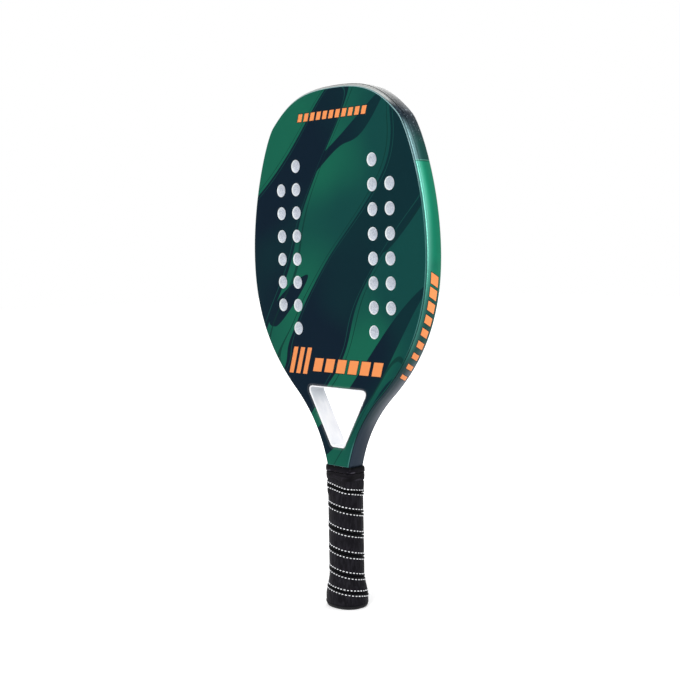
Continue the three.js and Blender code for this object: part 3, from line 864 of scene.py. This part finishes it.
def settle(piece, tree, inputs, sharp_angle=40):
    """Runs a Geometry Nodes tree on a piece and keeps its result as the piece's plain mesh."""
    sockets = tree.interface.items_tree
    identifiers = {item.name: item.identifier for item in sockets if item.in_out == "INPUT"}
    modifier = piece.modifiers.new(tree.name, "NODES")
    modifier.node_group = tree
    for name, value in inputs.items():
        modifier[identifiers[name]] = value
    shown = piece.evaluated_get(bpy.context.evaluated_depsgraph_get())
    made = bpy.data.meshes.new_from_object(shown)
    piece.modifiers.remove(modifier)
    piece.data = made
    made.shade_smooth()
    made.set_sharp_from_angle(angle=math.radians(sharp_angle))
    return piece


air_holes = build_air_holes_tree()


def drill_air_holes(piece, face_depth, edge_diameter, flare, wall):
    return settle(piece, air_holes, {
        "Hole Diameter": edge_diameter, "Hole Pitch": hole_pitch, "First Column": hole_first_column,
        "Grid Centre": hole_grid_centre, "Inner Rows": inner_rows, "Outer Rows": outer_rows,
        "Flare": flare, "Face Depth": face_depth, "Wall Material": wall,
    })


def build_bands_group():
    """Flowing diagonal bands: masks for the bands and for the thin lines beside their edges."""
    tree, given, result = new_group("flowing_bands", "ShaderNodeTree", {
        "Vector": "Vector", "Turn": 0, "Scale": 10, "Stretch": 0.35, "Level": 0.5, "Seed": 0,
    }, {"Band": 0, "Dark Line": 0, "Light Line": 0})
    turned = axes(add_node(
        "ShaderNodeVectorRotate", {"Vector": given["Vector"], "Angle": given["Turn"]}, rotation_type="Y_AXIS"
    ))
    flow = vector(X=turned["X"] * given["Stretch"], Y=given["Seed"], Z=turned["Z"])
    height = noise(flow, given["Scale"], Detail=1.2, Roughness=0.35, Distortion=0.5) - given["Level"]
    feed(result, {"Band": ramp(height, -band_softness, band_softness)})
    for name, (middle, half) in band_lines.items():
        feed(result, {name: 1 - ramp(abs(height - middle), half * line_core_share, half)})
    return tree


flowing_bands = build_bands_group()


def build_print_group():
    """The printed pattern: green and teal with navy bands, and rows of orange bars."""
    tree, given, result = new_group(
        "printed_pattern", "ShaderNodeTree", {"Vector": "Vector"}, {"Color": "Color"}
    )
    place = given["Vector"]
    at = axes(place)
    teal = ramp(at["X"] * 1.1 + noise(place, 6.5, Detail=1), 0.42, 0.62)
    dark = blend(teal, (0.003, 0.011, 0.022), (0.003, 0.022, 0.028))
    fewer = (1 - ramp(at["Z"], *fewer_bands_heights)) * 0.12
    wide = add_group(flowing_bands, {
        "Vector": place, "Turn": math.radians(52), "Scale": 12, "Stretch": 0.34, "Level": fewer + 0.55,
        "Seed": 0.4,
    })
    slim = add_group(flowing_bands, {
        "Vector": place, "Turn": math.radians(44), "Scale": 20, "Stretch": 0.22, "Level": 0.62, "Seed": 1.7,
    })
    colour = blend(teal, (0.008, 0.108, 0.066), (0.005, 0.052, 0.048))
    colour = blend(wide["Band"], colour, dark)
    colour = blend(slim["Band"], colour, dark)
    colour = blend(wide["Dark Line"] * 0.75, colour, (0.003, 0.026, 0.024))
    colour = blend(wide["Light Line"] * 0.5, colour, (0.009, 0.085, 0.068))
    for start, middle, pitch, count, share, height in bar_rows:
        colour = paint_bars(colour, {
            "Along": at["X"], "Across": at["Z"], "Start": start, "Middle": middle, "Pitch": pitch,
            "Count": count, "Share": share, "Height": height, "Slant": 0.32,
        })
    feed(result, {"Color": colour})
    return tree


printed_pattern = build_print_group()


def print_finish(name, surface, roughness, painted_highlight=0):
    """Lacquer over the print, with a faint grain. A painted highlight share blends in a pale colour as a
    painted highlight, which is palest at the crown and dark along the throat."""
    material, place = new_material(name, surface)
    colour = add_group(printed_pattern, {"Vector": place})
    if painted_highlight:
        colour = blend(painted_highlight, colour, shade_up(axes(place)["Z"], mid_edge_highlight, *edge_highlight_shades))
    grain = grain_on(place, 1600)
    return complete(
        material, colour, grain["Height"], 0.03 * mm, 0.5, Roughness=grain["Cloud"] * 0.08 + roughness
    )


def cut_edge(name, colour, gloss):
    """The sawn and sealed edge of a sheet, with faint saw marks."""
    material, place = new_material(name, {"Specular IOR Level": gloss, "Roughness": 0.5})
    grain = grain_on(place, 2200)
    darker = [0.8 * value for value in colour]
    return complete(material, blend(grain["Cloud"] * 0.6, colour, darker), grain["Height"], 0.04 * mm, 0.6)


face_finishes = [
    print_finish("face_print", {"Specular IOR Level": 0.02}, 0.4),
    # the eased outer edge has a painted highlight
    print_finish("eased_edge_highlight", {"Specular IOR Level": 0.03}, 0.3, painted_highlight=0.85),
    # the sawn edge is painted near black as the shade in the crease between the face sheet and the rim
    cut_edge("sheet_edge_shade", (0.005, 0.024, 0.026), gloss=0.02),
    print_finish(
        "dished_edge", {"Specular IOR Level": 0.03, "Coat Weight": 0.5, "Coat Roughness": 0.2}, 0.3
    ),
]
pale_edge = cut_edge("hole_edge", (0.9, 0.95, 0.97), gloss=0.3)
sheet_outside = [point for point, outward in outline_above(face_low.z, -sheet_inset)]


def face_sheet(name, side):
    outer = side * sheet_depth
    inner = side * (sheet_depth - sheet_thickness)
    outside_edge = eased_profile(edge_ease, edge_ease, outer, inner, eased)
    throat_edge = eased_profile(throat_ease_width, throat_ease_depth, outer, inner, dished)
    borders = [(sheet_outside, outside_edge), (throat_loop(lip_width + bond_line), throat_edge)]
    sheet = plate(name, borders, face_finishes)
    return drill_air_holes(sheet, sheet_depth, hole_diameter, hole_flare, pale_edge)


front_face = face_sheet("front_face", -1)
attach(front_face, "root")
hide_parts("front_skin")
rear_face = face_sheet("rear_face", 1)
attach(rear_face, "root")
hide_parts("rear_skin")


# Core
# Closed-cell foam fills the head between the faces and the tube. It is pale, and it shows in
# the walls of the air holes.
core_low, core_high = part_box("foam_core")
bridge_depth = 10 * mm
arch_rise = 5 * mm
arch_steps = 24
core_flare = 0.02 * mm


def arch_height(x, lift):
    return opening_top + bridge_depth + lift + arch_rise * (x / throat_half_width) ** 2


def arch(reach, lift):
    """Points of the arch over the bridge, from one side to the other without its two ends."""
    across = [reach * (2 * k / arch_steps - 1) for k in range(1, arch_steps)]
    return [Vector((x, 0, arch_height(x, lift))) for x in across]


inner_line = [point - outward * (tube_width + bond_line) for point, outward in outline]


def core_foam():
    """Pale closed-cell foam with fine cells, mottled at random with a darker grey that stands in as painted
    shade in the walls of the holes.
    """
    material, place = new_material("core_foam", {"Roughness": 0.9, "Specular IOR Level": 0.2})
    cells = add_node("ShaderNodeTexVoronoi", {"Vector": place, "Scale": 1100})
    share = ramp(noise(place, 900, Detail=3), 0.35, 0.65)
    # painted shade: the darker grey mottled over the pale foam
    return complete(material, blend(share, (0.66, 0.7, 0.76), (0.93, 0.95, 0.99)), cells, 0.12 * mm, 0.7)


foam_material = core_foam()
core_side = [point for point in inner_line if point.z > arch_height(point.x, bond_line)]
core_loop = core_side + arch(core_side[0].x, bond_line)
core_profile = [(0, core_low.y, printed), (0, core_high.y, printed)]
core = plate("core", [(core_loop, core_profile)], [foam_material])
drill_air_holes(core, core_high.y, hole_diameter - 2 * hole_flare, core_flare, foam_material)
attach(core, "root")
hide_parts("foam_core")


# Throat yoke
# A pale moulding between the two cheeks. It lines the throat opening with a thin lip on both
# faces, bridges it below the core and fills the wedge down to the handle.
yoke_low, yoke_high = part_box("throat_yoke")
lip_round = 0.45 * mm
wall_depths = (7.5 * mm, 9.2 * mm)
# heights over which the painted shadow on the opening's walls deepens under the bridge
bridge_shadow_heights = (182 * mm, 203 * mm)
shadow_wave = 4 * mm


def yoke_outside():
    line = [point for point in inner_line if yoke_low.z < point.z < arch_height(point.x, 0)]
    right = [point for point in line if point.x > 0]
    left = [point for point in line if point.x < 0]
    foot = right[0].x
    bridge = arch(-right[-1].x, 0)
    return [Vector((foot, 0, yoke_low.z)), *right, *bridge, *left, Vector((-foot, 0, yoke_low.z))]


def lip_profile():
    half = [(-lip_width, rim_half_depth), (-lip_width, yoke_high.y)]
    half += [(growth, yoke_high.y - below) for growth, below in quarter_round(lip_round, lip_round)]
    front = [(growth, -depth, printed) for growth, depth in half]
    return front + [(growth, depth, printed) for growth, depth in reversed(half)]


def stretched(place, *scale):
    return add_node("ShaderNodeMapping", {"Vector": place, "Scale": scale})


def yoke_moulding():
    """Satin white moulding with a lavender cast and faint flow marks. The walls of the opening carry a
    painted shadow that turns them grey towards its top, under the bridge."""
    material, place = new_material("yoke_moulding", {"Specular IOR Level": 0.35})
    share = ramp(noise(stretched(place, 1, 1, 0.15), 160, Detail=3), 0.3, 0.75)
    colour = blend(share, (0.96, 0.96, 0.98), (0.87, 0.88, 0.92))
    at = axes(place)
    on_wall = 1 - ramp(abs(at["Y"]), *wall_depths)
    # painted shadow on the walls of the opening, under the bridge
    bridge_shadow = ramp(at["Z"] + share * shadow_wave, *bridge_shadow_heights) * on_wall
    colour = blend(bridge_shadow, colour, (0.62, 0.65, 0.69))
    grain = grain_on(place, 1800)
    return complete(
        material, colour, grain["Height"], 0.03 * mm, 0.6, Roughness=grain["Cloud"] * 0.12 + 0.42
    )


yoke_profile = [(0, -rim_half_depth, printed), (0, rim_half_depth, printed)]
yoke = plate("yoke", [(yoke_outside(), yoke_profile), (throat_loop(0), lip_profile())], [yoke_moulding()])
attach(yoke, "root")
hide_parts("throat_yoke")


# Handle core
# Two moulded halves over a foam spacer and the legs of the frame, held at the butt by staples.
# They are hidden under the winding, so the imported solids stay, with their own finishes.
def handle_plastic(name, colour, rough, grain_scale, depth):
    """A moulded material with a fine grain."""
    material, place = new_material(name, {"Specular IOR Level": 0.1})
    grain = grain_on(place, grain_scale)
    lighter = [1.5 * value for value in colour]
    return complete(
        material, blend(grain["Cloud"] * 0.5, colour, lighter), grain["Height"], depth, 0.8,
        Roughness=grain["Speck"] * 0.1 + rough,
    )


def staple_steel():
    """Bright wire with a faint drawn grain."""
    material, place = new_material("staple_steel", {"Metallic": 1})
    grain = grain_on(place, 3000)
    colour = blend(grain["Cloud"], (0.5, 0.5, 0.52), (0.36, 0.36, 0.38))
    return complete(material, colour, grain["Height"], 0.02 * mm, 0.5)


pallet_foam = handle_plastic("handle_moulding", (0.02, 0.02, 0.022), 0.7, 1200, 0.1 * mm)
wire = staple_steel()
for node, material in (
    ("pallet_front", pallet_foam), ("pallet_rear", pallet_foam), ("handle_spacer", foam_material),
    ("staple_front", wire), ("staple_rear", wire),
):
    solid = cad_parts[node]
    solid.data.materials.clear()
    solid.data.materials.append(material)


# Butt cap
# A moulded cup over the end of the handle. Its skirt flares under the winding, and its rounded
# base is what the racket stands on.
cap_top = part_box("butt_cap")[1].z
cap_base = 3.2 * mm
cap_flare = 3.2 * mm
flare_bottom = 9 * mm
flare_top = 31 * mm
butt_tuck = 2.2 * mm
tuck_height = 4.6 * mm
strip_thickness = 1.5 * mm
seat_gap = 0.3 * mm
cap_wall_inset = 0.7 * mm
neck_cover = 0.4 * mm
neck_cover_depth = 0.65 * mm
grip_half_width = leg_half_width + 2.9 * mm
grip_half_depth = rim_half_depth + 4.25 * mm
grip_roundness = 2.25
neck_roundness = 6
blend_bottom = 103 * mm
blend_top = 116 * mm
round_sides = 120
base_steps = 8
skirt_steps = 24


def smooth(value, low, high):
    share = share_of(value, low, high)
    return share * share * (3 - 2 * share)


def handle_point(height, angle, stand_off):
    """A point round the handle, at a stand-off from its core."""
    share = smooth(height, blend_bottom, blend_top)
    half_width = grip_half_width + (half_width_at(height) + neck_cover - grip_half_width) * share
    half_depth = grip_half_depth + (rim_half_depth + neck_cover_depth - grip_half_depth) * share
    power = grip_roundness + (neck_roundness - grip_roundness) * share
    along, across = math.cos(angle), math.sin(angle)
    reach = (abs(along) ** power + abs(across) ** power) ** (-1 / power)
    x = along * reach * (half_width + stand_off)
    y = across * reach * (half_depth + stand_off)
    return Vector((x, y, height))


def flare_at(height):
    """How far the butt stands out: a flare that tucks in again at the base."""
    below = share_of(height, tuck_height, 0)
    flare = cap_flare * (1 - smooth(height, flare_bottom, flare_top))
    return flare - butt_tuck * (1 - math.sqrt(1 - below ** 2))


def turned_body(name, stations, material, closed):
    """A body round the handle through stations, each a height and a stand-off, which a third value
    raises: a function of height and angle. A closed one joins its last station to its first."""
    angles = [2 * math.pi * k / round_sides for k in range(round_sides)]
    rings = []
    for height, stand_off, *raises in stations:
        rises = [sum(rise(height, angle) for rise in raises) for angle in angles]
        rings.append([handle_point(height, angle, stand_off + rise) for angle, rise in zip(angles, rises)])
    return link_piece(ringed_mesh(name, rings, closed), [material])


def cap_stations():
    """Up the outside of the base and the skirt, and down the wall that fits the handle."""
    stand = seat_gap + strip_thickness
    base = [cap_base * (k / base_steps) ** 2 for k in range(base_steps + 1)]
    skirt = [cap_base + (cap_top - cap_base) * k / skirt_steps for k in range(skirt_steps + 1)]
    outside = [(height, flare_at(height) + stand) for height in base]
    outside += [(height, flare_at(height)) for height in skirt]
    return outside + [(cap_top, -cap_wall_inset), (cap_base, -cap_wall_inset)]


cap_plastic = handle_plastic("cap_moulding", (0.012, 0.012, 0.014), 0.5, 900, 0.12 * mm)
butt = turned_body("butt", cap_stations(), cap_plastic, closed=False)
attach(butt, "root")
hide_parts("butt_cap")


# Grip strip
# One strip of padded synthetic leather, wound down the handle with its edges side by side. A
# line of stitching runs along each edge and leaves a ridge outside it.
strip_low, strip_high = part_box("grip_strip")
tape_low, tape_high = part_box("finishing_tape")
strip_width = 19.1 * mm
strip_pitch = 19.3 * mm
seam_height = 106.3 * mm
lap_rise = 0.55 * mm
lap_heights = (109 * mm, 115 * mm, 116 * mm, 119 * mm)
# lower end, upper end and size, in millimetres, of each stretch over which the hand-wound strip
# moves off an even winding
slips = ((103, 115.5, -2.3), (87, 120, -0.4), (68, 87, 1.2), (48, 68, 1.0), (7, 28, -4.3))
stitch_inset = 2.7 * mm
ridge_rise = 0.42 * mm
ridge_half = stitch_inset / 2.4
groove_depth = 0.3 * mm
groove_half = 1.0 * mm
groove_spread = groove_half / 1.6
pad_crown = 0.12 * mm
edge_round = 0.7 * mm
press_length = 2.2 * mm
turn_steps = 112
across_steps = 44


def strip_surface(across):
    """Height of the strip's outer side over its under side, at a distance from its middle."""
    from_edge = strip_width / 2 - abs(across)
    ridge = math.exp(-((from_edge - stitch_inset / 2) / ridge_half) ** 2)
    groove = math.exp(-((from_edge - stitch_inset) / groove_spread) ** 2)
    pad = max(0, 1 - (across / (strip_width / 2 - stitch_inset)) ** 2)
    top = strip_thickness + ridge_rise * ridge - groove_depth * groove + pad_crown * pad
    fall = min(from_edge / edge_round, 1)
    return top * math.sqrt(max(1 - (1 - fall) ** 2, 0))


def slipped(height):
    """Height where a place on an even winding lies on the hand-wound one."""
    return height - sum(size * mm * (1 - smooth(height, low * mm, high * mm)) for low, high, size in slips)


def lap_at(height):
    """How far the last turn stands out over the strip's own tapered end."""
    start, full, last, end = lap_heights
    return lap_rise * smooth(height, start, full) * (1 - smooth(height, last, end))


def strip_point(turn, across, rise, lift=0):
    """A point on the wound strip: turns down from the seam's start, place across, height over
    the under side. The ridges are pressed flat below the finishing tape."""
    height = slipped(seam_height - strip_pitch * (turn + 0.5) + across)
    if rise > strip_thickness:
        pressed = smooth(height, tape_low.z - press_length, tape_low.z)
        rise = strip_thickness + (rise - strip_thickness) * (1 - pressed)
    station = min(max(height, cap_base), strip_high.z)
    seat = flare_at(station) + seat_gap + rise + lift + lap_at(station)
    place = handle_point(station, turn * 2 * math.pi, seat)
    return Vector((place.x, place.y, height))


def wound_strip():
    """The whole winding, cut level at both ends; its UV map is in metres along and across it."""
    half = strip_width / 2
    places = [-half * math.cos(math.pi * k / across_steps) for k in range(across_steps + 1)]
    section = [(across, strip_surface(across)) for across in places]
    section += [(half * share, 0) for share in (0.5, 0, -0.5)]
    above = (strip_high.z - seam_height) / strip_pitch + 1
    below = (seam_height - strip_low.z) / strip_pitch + 1
    steps = range(-math.ceil(above * turn_steps), math.ceil(below * turn_steps) + 1)
    rings = [[strip_point(step / turn_steps, *spot) for spot in section] for step in steps]
    along = distances([ring[across_steps // 2] for ring in rings])
    mesh = ringed_mesh("grip", rings, uv=(along, [across for across, rise in section]))
    shape = bmesh.new()
    shape.from_mesh(mesh)
    for height, way in ((strip_low.z, -1), (strip_high.z, 1)):
        bmesh.ops.bisect_plane(
            shape, geom=shape.verts[:] + shape.edges[:] + shape.faces[:], plane_co=(0, 0, height),
            plane_no=(0, 0, way), clear_outer=True,
        )
        open_edges = [edge for edge in shape.edges if edge.is_boundary]
        bmesh.ops.triangle_fill(shape, edges=open_edges, use_beauty=True)
    shape.to_mesh(mesh)
    shape.free()
    return mesh


def grip_leather():
    """Black synthetic leather: a pebbled grain, soft creasing across the strip that is painted lighter as a
    painted sheen, darker ridges.
    """
    material, place = new_material("grip_leather", {"Specular IOR Level": 0.045})
    metres = add_node("ShaderNodeUVMap", {}, tree=material.node_tree, uv_map="metres")
    pebbles = add_node("ShaderNodeTexVoronoi", {"Vector": place, "Scale": 900}, feature="SMOOTH_F1")
    fine = noise(place, 1700, Detail=3)
    creases_and_sheen = noise(stretched(metres, 1, 0.25, 1), 420, Detail=4, Distortion=0.6)
    folds = noise(stretched(metres, 1, 0.45, 1), 130, Detail=2, Distortion=0.8)
    relief = fine * 0.35 + pebbles + creases_and_sheen * 0.5 + folds * 4
    # painted sheen: lighter where the creasing stands out
    colour = blend(ramp(creases_and_sheen, 0.35, 0.75), (0.0055, 0.005, 0.007), (0.017, 0.016, 0.021))
    seam = strip_width / 2 - stitch_inset
    at_ridge = ramp(abs(axes(metres)["Y"]), seam - groove_half, seam + groove_half)
    colour = blend(at_ridge, colour, (0.003, 0.003, 0.004))
    return complete(material, colour, relief, 0.16 * mm, 0.8, Roughness=fine * 0.25 + 0.36)


grip = link_piece(wound_strip(), [grip_leather()], sharp_angle=60)
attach(grip, "root")
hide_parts("grip_strip")


# Stitching
# White waxed thread, sewn through the strip near both edges before it is wound. Each stitch is
# a short bead of thread that dives into the leather at both ends.
stitch_pitch = 3.3 * mm
stitch_length = 1.8 * mm
thread_diameter = 1.0 * mm
stitch_sink = 0.3 * mm
stitch_rise = 0.45 * mm
stitch_seed = 7
row_steps = 120
thread_steps = 6
thread_sides = 8
thread_taper = 4.4


def stitch_rows():
    """The two lines of stitching down the strip, with the direction that faces out of it."""
    vertices, edges, outwards = [], [], []
    for edge in (-1, 1):
        across = edge * (strip_width / 2 - stitch_inset)
        groove = strip_surface(across)
        start = (seam_height + across - tape_low.z + thread_diameter / 2) / strip_pitch - 0.5
        end = (seam_height + across - strip_low.z - thread_diameter) / strip_pitch - 0.5
        steps = int((end - start) * row_steps)
        for k in range(steps + 1):
            turn = start + (end - start) * k / steps
            spot = strip_point(turn, across, groove)
            over = strip_point(turn, across, groove, mm)
            if k:
                edges.append((len(vertices) - 1, len(vertices)))
            vertices.append(spot)
            outwards.append((over - spot).normalized())
    mesh = new_mesh("stitches", vertices, [], edges)
    layer = mesh.attributes.new("outward", "FLOAT_VECTOR", "POINT")
    for index, outward in enumerate(outwards):
        layer.data[index].vector = outward
    return mesh


def build_stitch_tree():
    """Sets stitches at an even pitch along lines."""
    tree, given, result = new_group("stitches", "GeometryNodeTree", {
        "Geometry": "Geometry", "Stitch Pitch": 0, "Stitch Length": 0, "Thread Diameter": 0, "Sink": 0,
        "Rise": 0, "Seed": "Int", "Thread Material": "Material",
    }, {"Geometry": "Geometry"})
    half = given["Stitch Length"] * 0.5
    down = given["Sink"] * -1
    arc = add_node("GeometryNodeCurveQuadraticBezier", {
        "Resolution": thread_steps, "Start": vector(X=half * -1, Z=down),
        "Middle": vector(Z=given["Rise"] * 2 + given["Sink"]), "End": vector(X=half, Z=down),
    })
    along = add_node("GeometryNodeSplineParameter", {}, "Factor", tree)
    thread = add_node("GeometryNodeCurvePrimitiveCircle", {
        "Resolution": thread_sides, "Radius": given["Thread Diameter"] * 0.5,
    })
    stitch = add_node("GeometryNodeCurveToMesh", {
        "Curve": arc, "Profile Curve": thread, "Scale": 1 - abs(along - 0.5) ** 3 * thread_taper,
        "Fill Caps": True,
    })
    line = add_node("GeometryNodeMeshToCurve", {"Mesh": given["Geometry"]})
    even = add_node(
        "GeometryNodeResampleCurve", {"Curve": line, "Length": given["Stitch Pitch"]}, mode="LENGTH"
    )
    outward = add_node(
        "GeometryNodeInputNamedAttribute", {"Name": "outward"}, "Attribute", tree, data_type="FLOAT_VECTOR"
    )
    tangent = add_node("GeometryNodeInputTangent", {}, tree=tree)
    ahead = add_node("FunctionNodeAlignRotationToVector", {"Vector": tangent}, axis="X")
    upright = add_node(
        "FunctionNodeAlignRotationToVector", {"Rotation": ahead, "Vector": outward}, axis="Z", pivot_axis="X"
    )
    size = add_node("FunctionNodeRandomValue", {
        "Min": (0.88, 0.92, 0.9), "Max": (1.05, 1.08, 1.1), "Seed": given["Seed"],
    }, data_type="FLOAT_VECTOR")
    copies = add_node("GeometryNodeInstanceOnPoints", {
        "Points": even, "Instance": stitch, "Rotation": upright, "Scale": size,
    })
    feed(result, {0: real_meshes(copies, given["Thread Material"])})
    return tree


def waxed_thread():
    """Off-white thread with the fine diagonal ribs of its twist."""
    material, place = new_material("waxed_thread", {"Roughness": 0.55, "Specular IOR Level": 0.3})
    ribs = {"Vector": place, "Scale": 900, "Distortion": 1.5}
    twist = add_node("ShaderNodeTexWave", ribs, "Fac", bands_direction="DIAGONAL")
    return complete(material, blend(twist, (0.86, 0.87, 0.91), (0.97, 0.98, 1)), twist, 0.06 * mm, 0.6)


stitches = bpy.data.objects.new("stitches", stitch_rows())
bpy.context.scene.collection.objects.link(stitches)
settle(stitches, build_stitch_tree(), {
    "Stitch Pitch": stitch_pitch, "Stitch Length": stitch_length, "Thread Diameter": thread_diameter,
    "Sink": stitch_sink, "Rise": stitch_rise, "Seed": stitch_seed, "Thread Material": waxed_thread(),
}, sharp_angle=70)
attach(stitches, "root")


# Finishing tape
# Smooth black tape, wrapped once over the top end of the strip. It steps down onto the neck,
# and its loose end lies across it at a slant.
wrap_thickness = 0.35 * mm
wrap_lip_share = 0.55
wrap_top_stand = 2.05 * mm
wrap_end_angle = math.radians(-24)
wrap_end_slant = math.radians(5) / mm
wrap_end_rise = 0.16 * mm
wrap_end_soft = math.radians(2.5)
wrap_end_fade = (0.5, 1.6)
wrap_steps = 6
neck_steps = 12


def wrap_rise(height, angle):
    """The extra layer where the tape's end lies over its start, with a crisp edge."""
    behind = angle - wrap_end_angle + wrap_end_slant * (height - tape_low.z)
    behind = (behind + math.pi) % (2 * math.pi) - math.pi
    return wrap_end_rise * smooth(behind, 0, wrap_end_soft) * (1 - smooth(behind, *wrap_end_fade))


def wrap_stations():
    """Up the outside, over the strip and then onto the neck, and down the inside."""
    under = 2 * seat_gap + strip_thickness
    over = under + wrap_thickness
    ledge = strip_high.z + seat_gap
    outside = [(tape_low.z, under + wrap_thickness * wrap_lip_share, wrap_rise)]
    for k in range(1, wrap_steps + 1):
        outside.append((tape_low.z + (ledge - tape_low.z) * k / wrap_steps, over, wrap_rise))
    for k in range(1, neck_steps + 1):
        share = smooth(k / neck_steps, 0, 1)
        top = wrap_top_stand - (wrap_thickness if k == neck_steps else 0)
        height = ledge + (tape_high.z - ledge) * k / neck_steps
        outside.append((height, over * (1 - share) + top * share, wrap_rise))
    return outside + [(tape_high.z, seat_gap), (ledge, seat_gap), (ledge, under), (tape_low.z, under)]


def smooth_tape():
    """Glossy black tape, softly wrinkled round the handle, painted pale as a highlight where the wrinkling
    stands out.
    """
    material, place = new_material("grip_tape", {"Roughness": 0.26, "Specular IOR Level": 0.055})
    wrinkles_and_sheen = noise(stretched(place, 0.35, 0.35, 1), 260, Detail=3, Distortion=0.8)
    # painted highlight: pale where the wrinkling stands out
    colour = shade_up(
        wrinkles_and_sheen, (0.003, 0.0025, 0.004),
        (0.4, 0.7, (0.01, 0.0085, 0.013)),
        (0.58, 0.72, (0.04, 0.036, 0.048)),
    )
    return complete(material, colour, wrinkles_and_sheen, 0.35 * mm, 0.7)


neck_tape = turned_body("neck_tape", wrap_stations(), smooth_tape(), closed=True)
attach(neck_tape, "root")
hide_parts("finishing_tape")


# Collar
# A rubber ring that is rolled down the neck onto the tape and hides where the faces end. Its
# bead is round, and it stands a little proud of the neck.
collar_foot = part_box("grip_collar")[0].z
collar_top = face_low.z - 0.05 * mm
collar_wall = 1.85 * mm
collar_foot_share = 0.75
collar_round_share = 0.16
collar_shoulder_share = 0.5
collar_shoulder_power = 2.2
collar_steps = 18
foot_highlight_height = 2.2 * mm
shade_height = 1.1 * mm


def collar_stations():
    stations = []
    for k in range(collar_steps + 1):
        share = (1 - math.cos(math.pi * k / collar_steps)) / 2
        under = 1 - min(share / collar_round_share, 1)
        bead = collar_foot_share + (1 - collar_foot_share) * math.sqrt(1 - under ** 2)
        bead -= collar_shoulder_share * share ** collar_shoulder_power
        stations.append((collar_foot + (collar_top - collar_foot) * share, seat_gap + collar_wall * bead))
    return stations + [(collar_top, seat_gap), (collar_foot, seat_gap)]


def smooth_rubber():
    """Glossy black rubber, painted pale in streaky highlights at the foot of its bead, and painted darkest
    as the shadow under the faces.
    """
    material, place = new_material("collar_rubber", {"Specular IOR Level": 0.045})
    height = axes(place)["Z"]
    streaks_and_sheen = noise(stretched(place, 0.3, 0.3, 1), 300, Detail=2, Distortion=0.5)
    # painted highlight in streaky bands at the foot of the bead
    at_foot = 1 - ramp(height, collar_foot + foot_highlight_height / 2, collar_foot + foot_highlight_height)
    colour = blend(ramp(streaks_and_sheen, 0.48, 0.62) * at_foot, (0.004, 0.0035, 0.006), (0.055, 0.05, 0.065))
    # painted shadow under the faces
    under_faces = ramp(height, collar_top - 2 * shade_height, collar_top - shade_height)
    colour = blend(under_faces, colour, (0.001, 0.0015, 0.002))
    return complete(material, colour, streaks_and_sheen, 0.2 * mm, 0.6, Roughness=streaks_and_sheen * 0.3 + 0.12)


collar = turned_body("collar", collar_stations(), smooth_rubber(), closed=True)
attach(collar, "root")
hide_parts("grip_collar")
